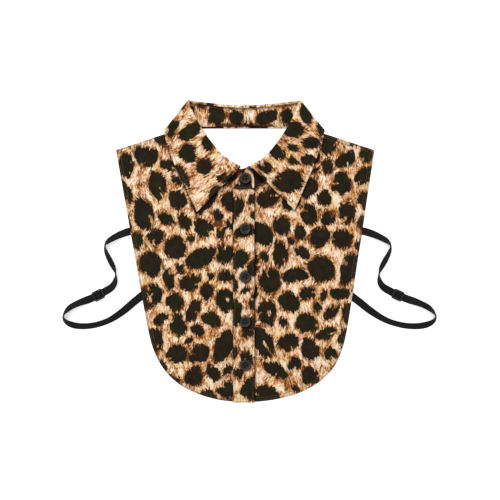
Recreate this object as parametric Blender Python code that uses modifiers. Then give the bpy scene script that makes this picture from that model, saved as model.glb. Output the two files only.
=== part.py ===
"""Detachable shirt collar: a dickey front with its collar, laid flat on a table.

Two front panels button at the placket, a stand and a turned-down leaf run round
the neck as one ring that lies on its back, and an elastic loop with an adjuster
goes round each arm.  +X is the wearer's left, +Y runs to the neck, +Z is up.
"""

import math

import bmesh
import bpy
from mathutils import Matrix, Vector

MM = 0.001

# Cloth and seams
CLOTH = 1.2 * MM            # wall of every cloth piece
SEAM_GAP = 0.3 * MM         # air between pieces that are sewn or laid together
LAYER = CLOTH + SEAM_GAP    # height of one more layer of cloth

# Front panels
SHOULDER_HALF = 168.0 * MM  # centre front to shoulder tip
SHOULDER_TIP_Y = 131.5 * MM
SIDE_TAPER = 0.165          # side edge moves in this much for each unit down
HEM_START_Y = -65.0 * MM    # where the side edge starts to turn into the hem
HEM_Y = -196.0 * MM         # lowest point of the hem
HEM_POWER = 4.3
HEM_CORNER_Y = -150.0 * MM  # the grid of a panel turns its corner here
HEM_SKEW = 0.013            # the laid panels drift to +X towards the hem
NECK_POINT = (84.0 * MM, 156.5 * MM)
NECK_FRONT_Y = 85.0 * MM
NECK_POWER = 1.45
SHOULDER_BREAK = (105.6 * MM, 152.0 * MM)
PANEL_COLUMNS, PANEL_ROWS = 16, 28

# Button band: the right front's placket lies on the left front's underlap
PLACKET_X = (-15.6 * MM, 12.2 * MM)
PLACKET_Y = (-196.8 * MM, 82.0 * MM)
BAND_SEAM_X = -11.5 * MM    # where the two panels meet under the placket

# Collar ring
COLLAR_MID_X = -1.2 * MM
SEAM_BELOW_ROLL = 3.4 * MM  # the stand's top edge, measured from the roll
LEAF_SHIFT = (3.9 * MM, 2.0 * MM)
STEPS_PER_SECTION = 4
LEAF_DROP_POWER = 1.15

# Sections of the collar from centre front round to centre back, in mm.
# Each has the roll line, the stand's neck edge and the leaf's free edge as
# (distance from the middle, y, z), then the roll's radius, how much lower the
# left half lies where it passes under the right one, and how much of
# LEAF_SHIFT the left half takes.
COLLAR_SECTIONS = (
    # roll line             neck edge              free edge            radius tuck shift
    ((4.9, 109.8, 6.5), (10.1, 81.0, 3.7), (61.5, 50.6, 3.7), 1.5, 1.6, 1.0),
    ((17.3, 116.5, 8.0), (28.3, 87.5, 2.6), (68.6, 65.3, 3.5), 1.6, 0.5, 0.75),
    ((30.3, 126.4, 9.0), (47.8, 103.2, 2.1), (77.7, 84.2, 3.4), 1.7, 0.0, 0.4),
    ((42.9, 141.1, 10.0), (65.4, 122.5, 2.1), (87.5, 105.0, 3.6), 1.7, 0.0, 0.15),
    ((53.0, 155.3, 10.5), (79.5, 142.5, 2.1), (95.8, 125.1, 3.4), 1.7, 0.0, 0.0),
    ((61.5, 169.3, 10.5), (85.0, 153.5, 2.3), (101.4, 141.4, 3.0), 1.7, 0.0, 0.0),
    ((67.0, 181.0, 10.0), (86.6, 159.5, 3.6), (102.8, 149.3, 3.2), 1.7, 0.0, 0.0),
    ((70.4, 191.2, 9.0), (87.2, 164.6, 5.4), (103.4, 153.6, 4.6), 1.6, 0.0, 0.0),
    ((71.6, 194.9, 5.8), (88.0, 168.2, 4.0), (104.0, 156.6, 2.7), 1.4, 0.0, 0.0),
    ((68.8, 195.0, 2.3), (83.6, 167.8, 2.3), (100.4, 158.4, 0.8), 0.9, 0.0, 0.0),
    ((55.0, 193.4, 1.35), (60.0, 162.2, 2.1), (78.4, 159.3, 0.6), 0.75, 0.0, 0.0),
    ((29.0, 190.6, 1.35), (29.0, 161.8, 2.1), (42.0, 159.4, 0.6), 0.75, 0.0, 0.0),
    ((0.0, 189.0, 1.35), (0.0, 161.8, 2.1), (0.0, 159.4, 0.6), 0.75, 0.0, 0.0),
)

# The stand's two ends at centre front, in mm: neck edge and top edge as
# (x, y, z).  The right end lies on top and has the button.
RIGHT_STAND_END = (
    ((11.7, 82.3, 3.7), (11.6, 95.5, 4.4)),
    ((9.8, 81.9, 3.7), (9.6, 103.2, 4.8)),
    ((3.6, 81.4, 3.7), (3.6, 108.0, 4.9)),
)
LEFT_STAND_END = (
    ((-0.5, 83.2, 2.1), (-0.5, 107.6, 3.3)),
    ((-14.0, 83.8, 2.1), (-14.0, 103.8, 3.2)),
)

# Arm straps
STRAP_WIDTH = 10.0 * MM
STRAP_THICK = 1.0 * MM
STRAP_MID_X = 1.7 * MM
STRAP_LEFT_REACH = 1.08     # the left loop is laid a little wider
STRAP_ROOT_OUT = 140.0 * MM
STRAP_SLIDER_ROW = 13
LIFT_FLAT, LIFT_FADE = 15.0 * MM, 34.0 * MM

# Rows along a strap, in mm and degrees: distance from the middle, y, and how
# far the ribbon leans up from lying flat.
STRAP_ROWS = (
    (139.8, 28.3, 0), (147.6, 26.6, 0), (155.5, 24.8, 6), (166.6, 20.4, 27),
    (178.5, 13.7, 47), (183.4, 7.2, 75), (182.0, -1.0, 58), (177.0, -11.9, 43),
    (172.4, -21.0, 51), (169.5, -29.6, 76), (170.3, -38.7, 47), (174.5, -46.1, 24),
    (183.2, -51.9, 0), (192.4, -57.0, 0), (203.5, -62.0, 0), (218.0, -67.3, 34),
    (230.0, -73.8, 45), (237.2, -82.9, 74), (234.7, -90.7, 53), (225.6, -95.6, 34),
    (211.3, -97.3, 38), (194.4, -95.2, 43), (176.9, -88.9, 42), (160.1, -77.8, 24),
    (146.3, -66.0, 8), (134.5, -56.6, 0), (126.0, -50.0, 0),
)
STRAP_STEPS = 3

# Adjusters
SLIDER_ACROSS, SLIDER_ALONG, SLIDER_THICK = 13.4 * MM, 13.8 * MM, 1.2 * MM
SLOT_ACROSS, SLOT_ALONG, SLOT_CENTRE = 10.6 * MM, 4.0 * MM, 3.0 * MM
SLIDER_CORNER = 1.8 * MM
WEAVE_OUTER, WEAVE_INNER = 4.3 * MM, 1.7 * MM
WEAVE_LEAD, WEAVE_BEND = 6.8 * MM, 5.4 * MM     # stations where the strap nears the adjuster

# Buttons
BUTTON_Y = (29.0 * MM, -33.0 * MM, -91.6 * MM, -147.8 * MM)
COLLAR_BUTTON_Y = 94.6 * MM
BUTTON_RADIUS = 7.0 * MM
BUTTON_HOLE_RADIUS = 0.95 * MM
BUTTON_HOLE_OFFSET = 1.75 * MM
BUTTON_PROFILE = (          # radius, height, in mm, from the top's middle down
    (0.0, 1.7), (4.3, 1.7), (4.9, 2.35), (5.7, 2.6), (6.5, 2.4),
    (7.0, 1.6), (6.6, 0.7), (5.3, 0.0), (0.0, 0.0),
)
BUTTON_STEPS = 28


def lerp(a, b, t):
    return a + (b - a) * t


def smoothstep(t):
    t = max(0.0, min(1.0, t))
    return t * t * (3.0 - 2.0 * t)


def blend(rows, at):
    """Smooth curve through rows of Vectors, at a row number that may be fractional."""
    last = len(rows) - 1
    i = min(int(at), last - 1)
    t = at - i
    p1, p2 = rows[i], rows[i + 1]
    p0 = rows[i - 1] if i > 0 else p1 * 2 - p2
    p3 = rows[i + 2] if i + 2 <= last else p2 * 2 - p1
    return 0.5 * (2 * p1 + (p2 - p0) * t + (2 * p0 - 5 * p1 + 4 * p2 - p3) * t ** 2
                  + (3 * p1 - p0 - 3 * p2 + p3) * t ** 3)


def collection(name):
    made = bpy.data.collections.new(name)
    bpy.context.scene.collection.children.link(made)
    return made


def material(name, colour, roughness, metallic=0.0):
    made = bpy.data.materials.new(name)
    made.use_nodes = True
    shader = made.node_tree.nodes["Principled BSDF"]
    shader.inputs["Base Color"].default_value = (*colour, 1.0)
    shader.inputs["Roughness"].default_value = roughness
    shader.inputs["Metallic"].default_value = metallic
    return made


def cloth_sheet(name, columns, rows, place, surface, group, thickness=CLOTH, side=0.0,
                turned=False):
    """A grid laid out by place(u, v) and given the cloth's thickness."""
    mesh = bpy.data.meshes.new(name)
    bm = bmesh.new()
    bmesh.ops.create_grid(bm, x_segments=columns, y_segments=rows, size=0.5)
    for vert in bm.verts:
        vert.co = place(vert.co.x + 0.5, vert.co.y + 0.5)
    if turned:
        bmesh.ops.reverse_faces(bm, faces=bm.faces)
    bm.to_mesh(mesh)
    bm.free()
    mesh.shade_smooth()
    mesh.materials.append(surface)
    sheet = bpy.data.objects.new(name, mesh)
    group.objects.link(sheet)
    wall = sheet.modifiers.new("Wall", "SOLIDIFY")
    wall.thickness = thickness
    wall.offset = side
    wall.use_even_offset = True
    return sheet


# ---- front panels ----------------------------------------------------------

def side_distance(y):
    return SHOULDER_HALF - SIDE_TAPER * (SHOULDER_TIP_Y - y)


def hem_y(share):
    """Height of the hem at a share of the half width."""
    drop = (1.0 - min(abs(share), 1.0) ** 2) ** (1.0 / HEM_POWER)
    return lerp(HEM_START_Y, HEM_Y, drop)


def edge_distance(y):
    """The panel's side edge, which rounds in below the hem's start."""
    drop = (HEM_START_Y - max(y, HEM_CORNER_Y)) / (HEM_START_Y - HEM_Y)
    return side_distance(y) * math.sqrt(1.0 - max(0.0, drop) ** HEM_POWER)


def top_y(distance):
    """Height of the neck edge and shoulder at a distance from centre front."""
    distance = abs(distance)
    neck_x, neck_y = NECK_POINT
    break_x, break_y = SHOULDER_BREAK
    if distance <= neck_x:
        rise = 1.0 - (1.0 - (distance / neck_x) ** NECK_POWER) ** (1.0 / NECK_POWER)
        return lerp(NECK_FRONT_Y, neck_y, rise)
    if distance <= break_x:
        return lerp(neck_y, break_y, (distance - neck_x) / (break_x - neck_x))
    return lerp(break_y, SHOULDER_TIP_Y, (distance - break_x) / (SHOULDER_HALF - break_x))


def strap_roots(side):
    reach = STRAP_LEFT_REACH if side > 0 else 1.0
    return [strap_point(STRAP_ROWS[row], side, reach) for row in (0, -1)]


def panel_lift(x, y, roots):
    """The panel rises over the strap ends that are sewn under it."""
    near = min(math.hypot(x - root.x, y - root.y) for root in roots)
    return LAYER * smoothstep((LIFT_FADE - near) / (LIFT_FADE - LIFT_FLAT))


def front_panel(name, side, inner, surface, group):
    roots = strap_roots(side)
    neck_x, neck_y = NECK_POINT
    neck_share = (neck_x - inner) / (edge_distance(neck_y) - inner)

    def distance(share, y):
        return lerp(inner, edge_distance(y), share)

    def place(u, v):
        half = min(1.0, 2.0 * u) if u <= 0.5 else 2.0 * u - 1.0
        eased = 1.0 - (1.0 - half) ** 1.6
        share = neck_share * eased if u <= 0.5 else lerp(neck_share, 1.0, eased)
        low, high = HEM_Y, neck_y
        for _ in range(12):
            low = hem_y(distance(share, low) / side_distance(low))
            high = top_y(distance(share, high))
        y = lerp(low, high, v)
        x = side * distance(share, y) + HEM_SKEW * share * (SHOULDER_TIP_Y - y)
        return Vector((x, y, panel_lift(x, y, roots)))

    return cloth_sheet(name, PANEL_COLUMNS, PANEL_ROWS, place, surface, group,
                       side=1.0, turned=side < 0)


def placket(surface, group):
    def place(u, v):
        y = lerp(PLACKET_Y[0], PLACKET_Y[1], v)
        return Vector((lerp(PLACKET_X[0], PLACKET_X[1], u), y, LAYER))

    return cloth_sheet("right_placket", 3, 24, place, surface, group, side=1.0)


# ---- collar ----------------------------------------------------------------

def collar_rails():
    """Roll, neck edge, free edge and radius for each section, right end to left end."""
    right, left = [], []
    for roll, neck, free, radius, tuck, shift in COLLAR_SECTIONS:
        for side, rails in ((-1, right), (1, left)):
            points = []
            for distance, y, z in (roll, neck, free):
                points.append(Vector((COLLAR_MID_X + side * distance * MM, y * MM, z * MM)))
            if side > 0:
                points[0].z -= tuck * MM
                points[1].z -= tuck * MM
                points[1].y += tuck * 1.0 * MM
                for moved in (points[0], points[2]):
                    moved.x += shift * LEAF_SHIFT[0]
                    moved.y += shift * LEAF_SHIFT[1]
            rails.append((*points, Vector((radius * MM, 0, 0))))
    return right + left[-2::-1]


class CollarSection:
    """The collar's cross-section at one place along the ring."""

    def __init__(self, rails, at):
        self.roll, self.neck, self.free, radius = (
            blend([row[k] for row in rails], at) for k in range(4))
        self.radius = radius.x
        step = 0.3
        low, high = max(0.0, at - step), min(len(rails) - 1.0, at + step)
        along = sum((blend([row[k] for row in rails], high)
                     - blend([row[k] for row in rails], low) for k in (0, 1)), Vector())
        self.up = (self.roll - self.neck).normalized()
        self.out = self.up.cross(along).normalized()
        self.centre = self.roll - self.up * self.radius

    def stand_top(self, below=SEAM_BELOW_ROLL):
        return self.centre - self.out * self.radius - self.up * (below - self.radius)

    def leaf_point(self, v):
        """From the stand's top edge over the roll (v < 0.4) down to the free edge."""
        if v < 0.1:
            gap = SEAM_GAP + 0.6 * max(0.0, self.radius - LAYER / 2)
            return self.stand_top(lerp(SEAM_BELOW_ROLL - gap, self.radius, v / 0.1))
        if v < 0.5:
            turn = math.pi * (v - 0.1) / 0.4
            return (self.centre - self.out * self.radius * math.cos(turn)
                    + self.up * self.radius * math.sin(turn))
        t = (v - 0.5) / 0.5
        start = self.centre + self.out * self.radius
        point = start.lerp(self.free, t)
        fall = (1.0 - t) ** LEAF_DROP_POWER
        point.z = lerp(self.free.z, start.z, fall)
        return point


def collar_leaf(surface, group):
    rails = collar_rails()
    last = len(rails) - 1

    def place(u, v):
        return CollarSection(rails, u * last).leaf_point(v)

    return cloth_sheet("collar_leaf", last * STEPS_PER_SECTION, 10, place, surface, group)


def stand_stations():
    """Neck edge and top edge of the stand, from its right end round to its left end."""
    rails = collar_rails()
    steps = STEPS_PER_SECTION
    ring = [CollarSection(rails, i / steps) for i in range((len(rails) - 1) * steps + 1)]
    ring = [(section.neck, section.stand_top()) for section in ring]

    def end_stations(end, joined):
        rows = [tuple(Vector(p) * MM for p in row) for row in end] + joined
        count = len(end) * steps
        return [tuple(blend([row[k] for row in rows], i / steps) for k in (0, 1))
                for i in range(count)]

    right = end_stations(RIGHT_STAND_END, [ring[0], ring[steps]])
    left = end_stations(LEFT_STAND_END[::-1], [ring[-1], ring[-1 - steps]])
    return right + ring + left[::-1]


def collar_stand(surface, group):
    stations = stand_stations()

    def place(u, v):
        neck, top = stations[round(u * (len(stations) - 1))]
        return neck.lerp(top, v)

    return cloth_sheet("collar_stand", len(stations) - 1, 3, place, surface, group)


# ---- straps ----------------------------------------------------------------

def strap_point(row, side, reach):
    """A strap row as (x, y, lean)."""
    out, y, lean = row
    out = STRAP_ROOT_OUT + (out * MM - STRAP_ROOT_OUT) * (reach if out * MM > STRAP_ROOT_OUT
                                                        else 1.0)
    return Vector((STRAP_MID_X + side * out, y * MM, math.radians(lean)))


def strap_stations(side):
    """Middle, direction, lean and weave height for each place along a strap."""
    reach = STRAP_LEFT_REACH if side > 0 else 1.0
    rows = [strap_point(row, side, reach) for row in STRAP_ROWS]
    spots = [i / STRAP_STEPS for i in range((len(rows) - 1) * STRAP_STEPS + 1)]
    middle = rows[STRAP_SLIDER_ROW].xy
    pitch = (rows[STRAP_SLIDER_ROW + 1].xy - rows[STRAP_SLIDER_ROW - 1].xy).length / 2
    spots = [s for s in spots if abs(s - STRAP_SLIDER_ROW) * pitch > WEAVE_LEAD + 0.2 * MM]
    for offset in (WEAVE_LEAD, WEAVE_BEND, WEAVE_OUTER, lerp(WEAVE_OUTER, WEAVE_INNER, 0.5),
                   WEAVE_INNER):
        spots += [STRAP_SLIDER_ROW - offset / pitch, STRAP_SLIDER_ROW + offset / pitch]
    stations = []
    for spot in sorted(spots):
        point = blend(rows, spot)
        ahead = blend(rows, min(spot + 0.05, len(rows) - 1)) - blend(rows, max(spot - 0.05, 0))
        from_slider = (point.xy - middle).length if abs(spot - STRAP_SLIDER_ROW) < 2 else 1.0
        rise = (WEAVE_OUTER - from_slider) / (WEAVE_OUTER - WEAVE_INNER)
        weave = max(0.0, min(1.0, rise)) * (SLIDER_THICK + STRAP_THICK + 2 * SEAM_GAP)
        stations.append((point.xy, ahead.xy.normalized(), max(0.0, point.z), weave))
    return stations


def strap(name, side, surface, group):
    stations = strap_stations(side)

    def place(u, v):
        (x, y), ahead, lean, weave = stations[round(v * (len(stations) - 1))]
        across = Vector((-ahead.y, ahead.x, 0.0)) * -side * math.cos(lean)
        across.z = math.sin(lean)
        height = STRAP_WIDTH / 2 * math.sin(lean) + STRAP_THICK / 2 * math.cos(lean)
        return Vector((x, y, height + weave)) + across * (u - 0.5) * STRAP_WIDTH

    return cloth_sheet(name, 1, len(stations) - 1, place, surface, group,
                       thickness=STRAP_THICK)


# ---- adjusters and buttons -------------------------------------------------

def rounded_outline(width, length, corner, centre_y=0.0, steps=4):
    points = []
    for quarter in range(4):
        sx = 1 if quarter in (0, 3) else -1
        sy = 1 if quarter in (0, 1) else -1
        for step in range(steps + 1):
            angle = math.pi / 2 * (quarter + step / steps)
            points.append((sx * (width / 2 - corner) + corner * math.cos(angle),
                           centre_y + sy * (length / 2 - corner) + corner * math.sin(angle)))
    return points


def slider(name, side, surface, group):
    reach = STRAP_LEFT_REACH if side > 0 else 1.0
    before, at, after = (strap_point(STRAP_ROWS[STRAP_SLIDER_ROW + k], side, reach)
                         for k in (-1, 0, 1))
    ahead = (after.xy - before.xy).normalized()
    outline = bpy.data.curves.new(name, "CURVE")
    outline.dimensions = "2D"
    outline.fill_mode = "BOTH"
    outline.extrude = SLIDER_THICK / 2
    loops = [rounded_outline(SLIDER_ACROSS, SLIDER_ALONG, SLIDER_CORNER)]
    loops += [rounded_outline(SLOT_ACROSS, SLOT_ALONG, 0.4 * MM, y, steps=2)
              for y in (-SLOT_CENTRE, SLOT_CENTRE)]
    for loop in loops:
        spline = outline.splines.new("POLY")
        spline.points.add(len(loop) - 1)
        for point, (x, y) in zip(spline.points, loop):
            point.co = (x, y, 0.0, 1.0)
        spline.use_cyclic_u = True
    outline.materials.append(surface)
    made = bpy.data.objects.new(name, outline)
    made.location = (at.x, at.y, STRAP_THICK + SEAM_GAP + SLIDER_THICK / 2)
    made.rotation_euler = (0.0, 0.0, math.atan2(-ahead.x, ahead.y))
    group.objects.link(made)
    return made


def button_mesh(surface):
    """One turned button with four sewing holes cut through it."""
    mesh = bpy.data.meshes.new("button")
    bm = bmesh.new()
    verts = [bm.verts.new((r * MM, 0.0, z * MM)) for r, z in BUTTON_PROFILE]
    for a, b in zip(verts, verts[1:]):
        bm.edges.new((a, b))
    bm.to_mesh(mesh)
    bm.free()
    mesh.materials.append(surface)
    return mesh


def buttons(surface, group, cutters):
    mesh = button_mesh(surface)
    drill = bpy.data.meshes.new("button_drill")
    bm = bmesh.new()
    for sx in (-1, 1):
        for sy in (-1, 1):
            spot = Matrix.Translation((sx * BUTTON_HOLE_OFFSET, sy * BUTTON_HOLE_OFFSET, MM))
            bmesh.ops.create_cone(bm, cap_ends=True, segments=10, radius1=BUTTON_HOLE_RADIUS,
                                  radius2=BUTTON_HOLE_RADIUS, depth=5 * MM, matrix=spot)
    bm.to_mesh(drill)
    bm.free()
    placket_top = LAYER + CLOTH
    neck, top = (Vector(p) * MM for p in RIGHT_STAND_END[-1])
    slope = math.atan2(top.z - neck.z, top.y - neck.y)
    share = (COLLAR_BUTTON_Y - neck.y) / (top.y - neck.y)
    stand_z = lerp(neck.z, top.z, share) + CLOTH / 2 / math.cos(slope)
    seats = [(COLLAR_BUTTON_Y, stand_z + SEAM_GAP + 0.05 * MM, slope)]
    seats += [(y, placket_top + SEAM_GAP, 0.0) for y in BUTTON_Y]
    for number, (y, z, tilt) in enumerate(seats, 1):
        made = bpy.data.objects.new(f"button_{number}", mesh)
        made.location = (0.0, y, z)
        made.rotation_euler = (tilt, 0.0, 0.0)
        group.objects.link(made)
        turn = made.modifiers.new("Turn", "SCREW")
        turn.angle = 2 * math.pi
        turn.steps = turn.render_steps = BUTTON_STEPS
        turn.use_merge_vertices = True
        turn.merge_threshold = 0.00005
        turn.use_smooth_shade = True
        cutter = bpy.data.objects.new(f"button_{number}_drill", drill)
        cutter.matrix_basis = made.matrix_basis
        cutter.display_type = "WIRE"
        cutter.hide_render = True
        cutters.objects.link(cutter)
        holes = made.modifiers.new("Holes", "BOOLEAN")
        holes.operation = "DIFFERENCE"
        holes.solver = "EXACT"
        holes.object = cutter


def main():
    for old in list(bpy.data.objects):
        bpy.data.objects.remove(old, do_unlink=True)
    parts = collection("detachable_collar")
    cutters = collection("cutters")
    print_cloth = material("leopard print cotton", (0.42, 0.27, 0.16), 0.85)
    elastic = material("black elastic", (0.02, 0.02, 0.02), 0.8)
    black_plastic = material("black plastic", (0.01, 0.01, 0.01), 0.3)

    front_panel("left_front", 1, BAND_SEAM_X + SEAM_GAP / 2, print_cloth, parts)
    front_panel("right_front", -1, -BAND_SEAM_X + SEAM_GAP / 2, print_cloth, parts)
    placket(print_cloth, parts)
    collar_stand(print_cloth, parts)
    collar_leaf(print_cloth, parts)
    for word, side in (("right", -1), ("left", 1)):
        strap(f"strap_{word}", side, elastic, parts)
        slider(f"slider_{word}", side, black_plastic, parts)
    buttons(black_plastic, parts, cutters)


if __name__ == "__main__":
    main()
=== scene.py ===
"""Detachable shirt collar in leopard-print cotton, laid flat with its arm elastics.

Every cloth piece is a closed shell on the form of its cut: two front panels, the
button placket, the collar stand and the turned-down leaf.  All lengths in the
tables are millimetres; meshes are made in metres.
"""

import math
from functools import lru_cache

import bmesh
import bpy
import numpy as np
from bpy.props import FloatProperty, FloatVectorProperty, IntProperty, PointerProperty
from mathutils import Matrix, Vector
from mathutils.geometry import delaunay_2d_cdt


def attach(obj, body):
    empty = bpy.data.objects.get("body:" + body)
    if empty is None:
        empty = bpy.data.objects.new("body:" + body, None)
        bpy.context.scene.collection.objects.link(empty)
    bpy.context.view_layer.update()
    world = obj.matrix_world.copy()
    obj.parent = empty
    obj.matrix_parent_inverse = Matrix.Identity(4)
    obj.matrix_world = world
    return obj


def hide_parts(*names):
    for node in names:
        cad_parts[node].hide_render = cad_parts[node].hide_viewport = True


bl_info = {
    "name": "Detachable Collar",
    "version": (1, 0, 0),
    "blender": (4, 5, 0),
    "location": "View3D > Sidebar > Collar",
    "description": "Makes a detachable shirt collar with its print, stitching and elastics",
    "category": "Object",
}

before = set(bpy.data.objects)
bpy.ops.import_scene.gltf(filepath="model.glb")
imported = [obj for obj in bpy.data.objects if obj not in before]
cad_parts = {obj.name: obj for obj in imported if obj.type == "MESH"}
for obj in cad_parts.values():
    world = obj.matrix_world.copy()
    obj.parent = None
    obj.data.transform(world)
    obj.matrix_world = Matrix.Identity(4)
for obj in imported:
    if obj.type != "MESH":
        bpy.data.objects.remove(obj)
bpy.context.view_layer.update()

MM = 0.001

# ---- sizes of the cut, as in the part's source ------------------------------

CLOTH, SEAM_GAP = 1.2, 0.3
LAYER = CLOTH + SEAM_GAP

SHOULDER_HALF, SHOULDER_TIP_Y, SIDE_TAPER = 168.0, 131.5, 0.165
HEM_START_Y, HEM_Y, HEM_POWER, HEM_CORNER_Y, HEM_SKEW = -65.0, -196.0, 4.3, -150.0, 0.013
NECK_POINT, NECK_FRONT_Y, NECK_POWER = (84.0, 156.5), 85.0, 1.45
SHOULDER_BREAK = (105.6, 152.0)

PLACKET_X, PLACKET_Y, BAND_SEAM_X = (-15.6, 12.2), (-196.8, 82.0), -11.5

COLLAR_MID_X, SEAM_BELOW_ROLL = -1.2, 3.4
LEAF_SHIFT, LEAF_DROP_POWER = (3.9, 2.0), 1.15
SECTION_STEPS = 12          # stations between two sections of the collar

# Sections of the collar from centre front to centre back: roll line, neck edge
# and free edge as (distance from the middle, y, z), then the roll's radius, how
# much lower the left half lies, and its share of LEAF_SHIFT.
COLLAR_SECTIONS = (
    ((4.9, 109.8, 6.5), (10.1, 81.0, 3.7), (61.5, 50.6, 3.7), 1.5, 1.6, 1.0),
    ((17.3, 116.5, 8.0), (28.3, 87.5, 2.6), (68.6, 65.3, 3.5), 1.6, 0.5, 0.75),
    ((30.3, 126.4, 9.0), (47.8, 103.2, 2.1), (77.7, 84.2, 3.4), 1.7, 0.0, 0.4),
    ((42.9, 141.1, 10.0), (65.4, 122.5, 2.1), (87.5, 105.0, 3.6), 1.7, 0.0, 0.15),
    ((53.0, 155.3, 10.5), (79.5, 142.5, 2.1), (95.8, 125.1, 3.4), 1.7, 0.0, 0.0),
    ((61.5, 169.3, 10.5), (85.0, 153.5, 2.3), (101.4, 141.4, 3.0), 1.7, 0.0, 0.0),
    ((67.0, 181.0, 10.0), (86.6, 159.5, 3.6), (102.8, 149.3, 3.2), 1.7, 0.0, 0.0),
    ((70.4, 191.2, 9.0), (87.2, 164.6, 5.4), (103.4, 153.6, 4.6), 1.6, 0.0, 0.0),
    ((71.6, 194.9, 5.8), (88.0, 168.2, 4.0), (104.0, 156.6, 2.7), 1.4, 0.0, 0.0),
    ((68.8, 195.0, 2.3), (83.6, 167.8, 2.3), (100.4, 158.4, 0.8), 0.9, 0.0, 0.0),
    ((55.0, 193.4, 1.35), (60.0, 162.2, 2.1), (78.4, 159.3, 0.6), 0.75, 0.0, 0.0),
    ((29.0, 190.6, 1.35), (29.0, 161.8, 2.1), (42.0, 159.4, 0.6), 0.75, 0.0, 0.0),
    ((0.0, 189.0, 1.35), (0.0, 161.8, 2.1), (0.0, 159.4, 0.6), 0.75, 0.0, 0.0),
)

# The stand's ends at centre front: neck edge and top edge.  The left one has a
# station more than the solid, so that the neck opening ends in a point.
RIGHT_STAND_END = (
    ((11.7, 82.3, 3.7), (11.6, 95.5, 4.4)),
    ((9.8, 81.9, 3.7), (9.6, 103.2, 4.8)),
    ((3.6, 81.4, 3.7), (3.6, 108.0, 4.9)),
)
LEFT_STAND_END = (
    ((6.2, 82.4, 2.1), (6.2, 110.9, 3.2)),
    ((-0.8, 83.2, 2.1), (-0.8, 107.8, 3.3)),
    ((-14.0, 83.8, 2.1), (-14.0, 103.8, 3.2)),
)

STRAP_WIDTH, STRAP_THICK, STRAP_MID_X = 10.0, 1.0, 1.7
STRAP_LEFT_REACH, STRAP_ROOT_OUT, STRAP_SLIDER_ROW = 1.08, 140.0, 13
LIFT_FLAT, LIFT_FADE = 15.0, 34.0

# Rows along an elastic: distance from the middle, y, lean in degrees.
STRAP_ROWS = (
    (139.8, 28.3, 0), (147.6, 26.6, 0), (155.5, 24.8, 6), (166.6, 20.4, 27),
    (178.5, 13.7, 47), (183.4, 7.2, 75), (182.0, -1.0, 58), (177.0, -11.9, 43),
    (172.4, -21.0, 51), (169.5, -29.6, 76), (170.3, -38.7, 47), (174.5, -46.1, 24),
    (183.2, -51.9, 0), (192.4, -57.0, 0), (203.5, -62.0, 0), (218.0, -67.3, 34),
    (230.0, -73.8, 45), (237.2, -82.9, 74), (234.7, -90.7, 53), (225.6, -95.6, 34),
    (211.3, -97.3, 38), (194.4, -95.2, 43), (176.9, -88.9, 42), (160.1, -77.8, 24),
    (146.3, -66.0, 8), (134.5, -56.6, 0), (126.0, -50.0, 0),
)

# The slots are a little narrower than the solid's, so that the elastic fills them.
SLIDER_ACROSS, SLIDER_ALONG, SLIDER_THICK = 13.4, 13.8, 1.2
SLOT_ACROSS, SLOT_ALONG, SLOT_CENTRE, SLIDER_CORNER = 10.24, 4.0, 3.0, 1.8
WEAVE_OUTER, WEAVE_INNER = 4.3, 1.7
WEAVE_ROWS = (6.6, 5.6, 4.9, WEAVE_OUTER, 3.65, 3.0, 2.35, WEAVE_INNER, 0.9)

BUTTON_Y, COLLAR_BUTTON_Y = (29.0, -33.0, -91.6, -147.8), 94.6
BUTTON_SPINS = (0.0, 0.35, -0.2, 0.12, 0.5)
HOLE_RADIUS, HOLE_OFFSET, COUNTERSINK = 0.95, 1.75, 0.14
THROAT_Z, THREAD_Z, SHANK_Z = (1.52, 0.16), 1.78, 0.45
BUTTON_AROUND, HOLE_AROUND = 56, 18        # corners of their circles
BUTTON_SHADE, ARCH_REACH, ARCH_FADE = 7.1, (5.4, 4.4), 3.0   # how far shade reaches
# Half section of a button from the dish's edge over the rim to the underside.
BUTTON_PROFILE = (
    (4.25, 1.70), (4.50, 1.78), (4.75, 2.02), (4.95, 2.28), (5.25, 2.48), (5.65, 2.60),
    (6.05, 2.58), (6.45, 2.42), (6.80, 2.08), (6.98, 1.66), (6.95, 1.20), (6.60, 0.70),
    (6.00, 0.30), (5.30, 0.02), (4.25, 0.00),
)

# ---- grids, soft folds, seams and print -------------------------------------

PANEL_STEPS, PANEL_EASE = (116, 200), 1.35   # columns and rows, crowding at the side edge
PLACKET_STEPS, STAND_STEPS, LEAF_STEPS = (20, 186), 20, (4, 13, 44)
ROLL_FROM, ROLL_TO = 0.1, 0.5              # share of the leaf's depth where it turns over
RING_PITCH, STRAP_PITCH, STRAP_COLUMNS, OUTLINE_PITCH = 1.45, 1.3, 33, 1.2

# Where the laid cloth stands off the table in a low fold: x and y of both ends,
# half width and height.
FOLDS = (
    (134, 33, 98, 52, 8, 1.0), (128, 20, 90, 14, 7, 0.7), (121, -43, 84, -22, 8, 1.1),
    (114, -62, 78, -80, 9, 0.8), (-131, 34, -101, 60, 8, 0.9), (-127, 16, -88, 22, 8, 0.8),
    (-119, -44, -80, -34, 7, 1.2), (-112, -64, -86, -96, 9, 0.7), (22, 26, 58, 36, 6, 0.6),
    (-24, -30, -62, -18, 7, 0.7), (20, -90, 52, -104, 7, 0.6), (-22, -146, -58, -132, 7, 0.8),
    (24, -150, 70, -160, 9, 0.9), (62, -196, 74, -140, 11, 1.3), (-84, -184, -70, -128, 12, 1.1),
    (-30, -198, -34, -168, 10, 0.7), (112, -150, 88, -112, 11, 1.0), (-118, -128, -100, -98, 9, 0.8),
    (150, 96, 118, 84, 10, 0.8), (-152, 100, -120, 92, 11, 0.9), (60, 52, 92, 74, 12, 0.9),
    (-58, 56, -88, 82, 12, 0.8),
)
HEM_BAND, HEM_LINES = 6.0, (2.0, 5.0)      # turned edge, and its rows of stitching
INSET, REVERSE_INSET = 0.3, 0.25           # how far single cloth lies inside a turned edge
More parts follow.
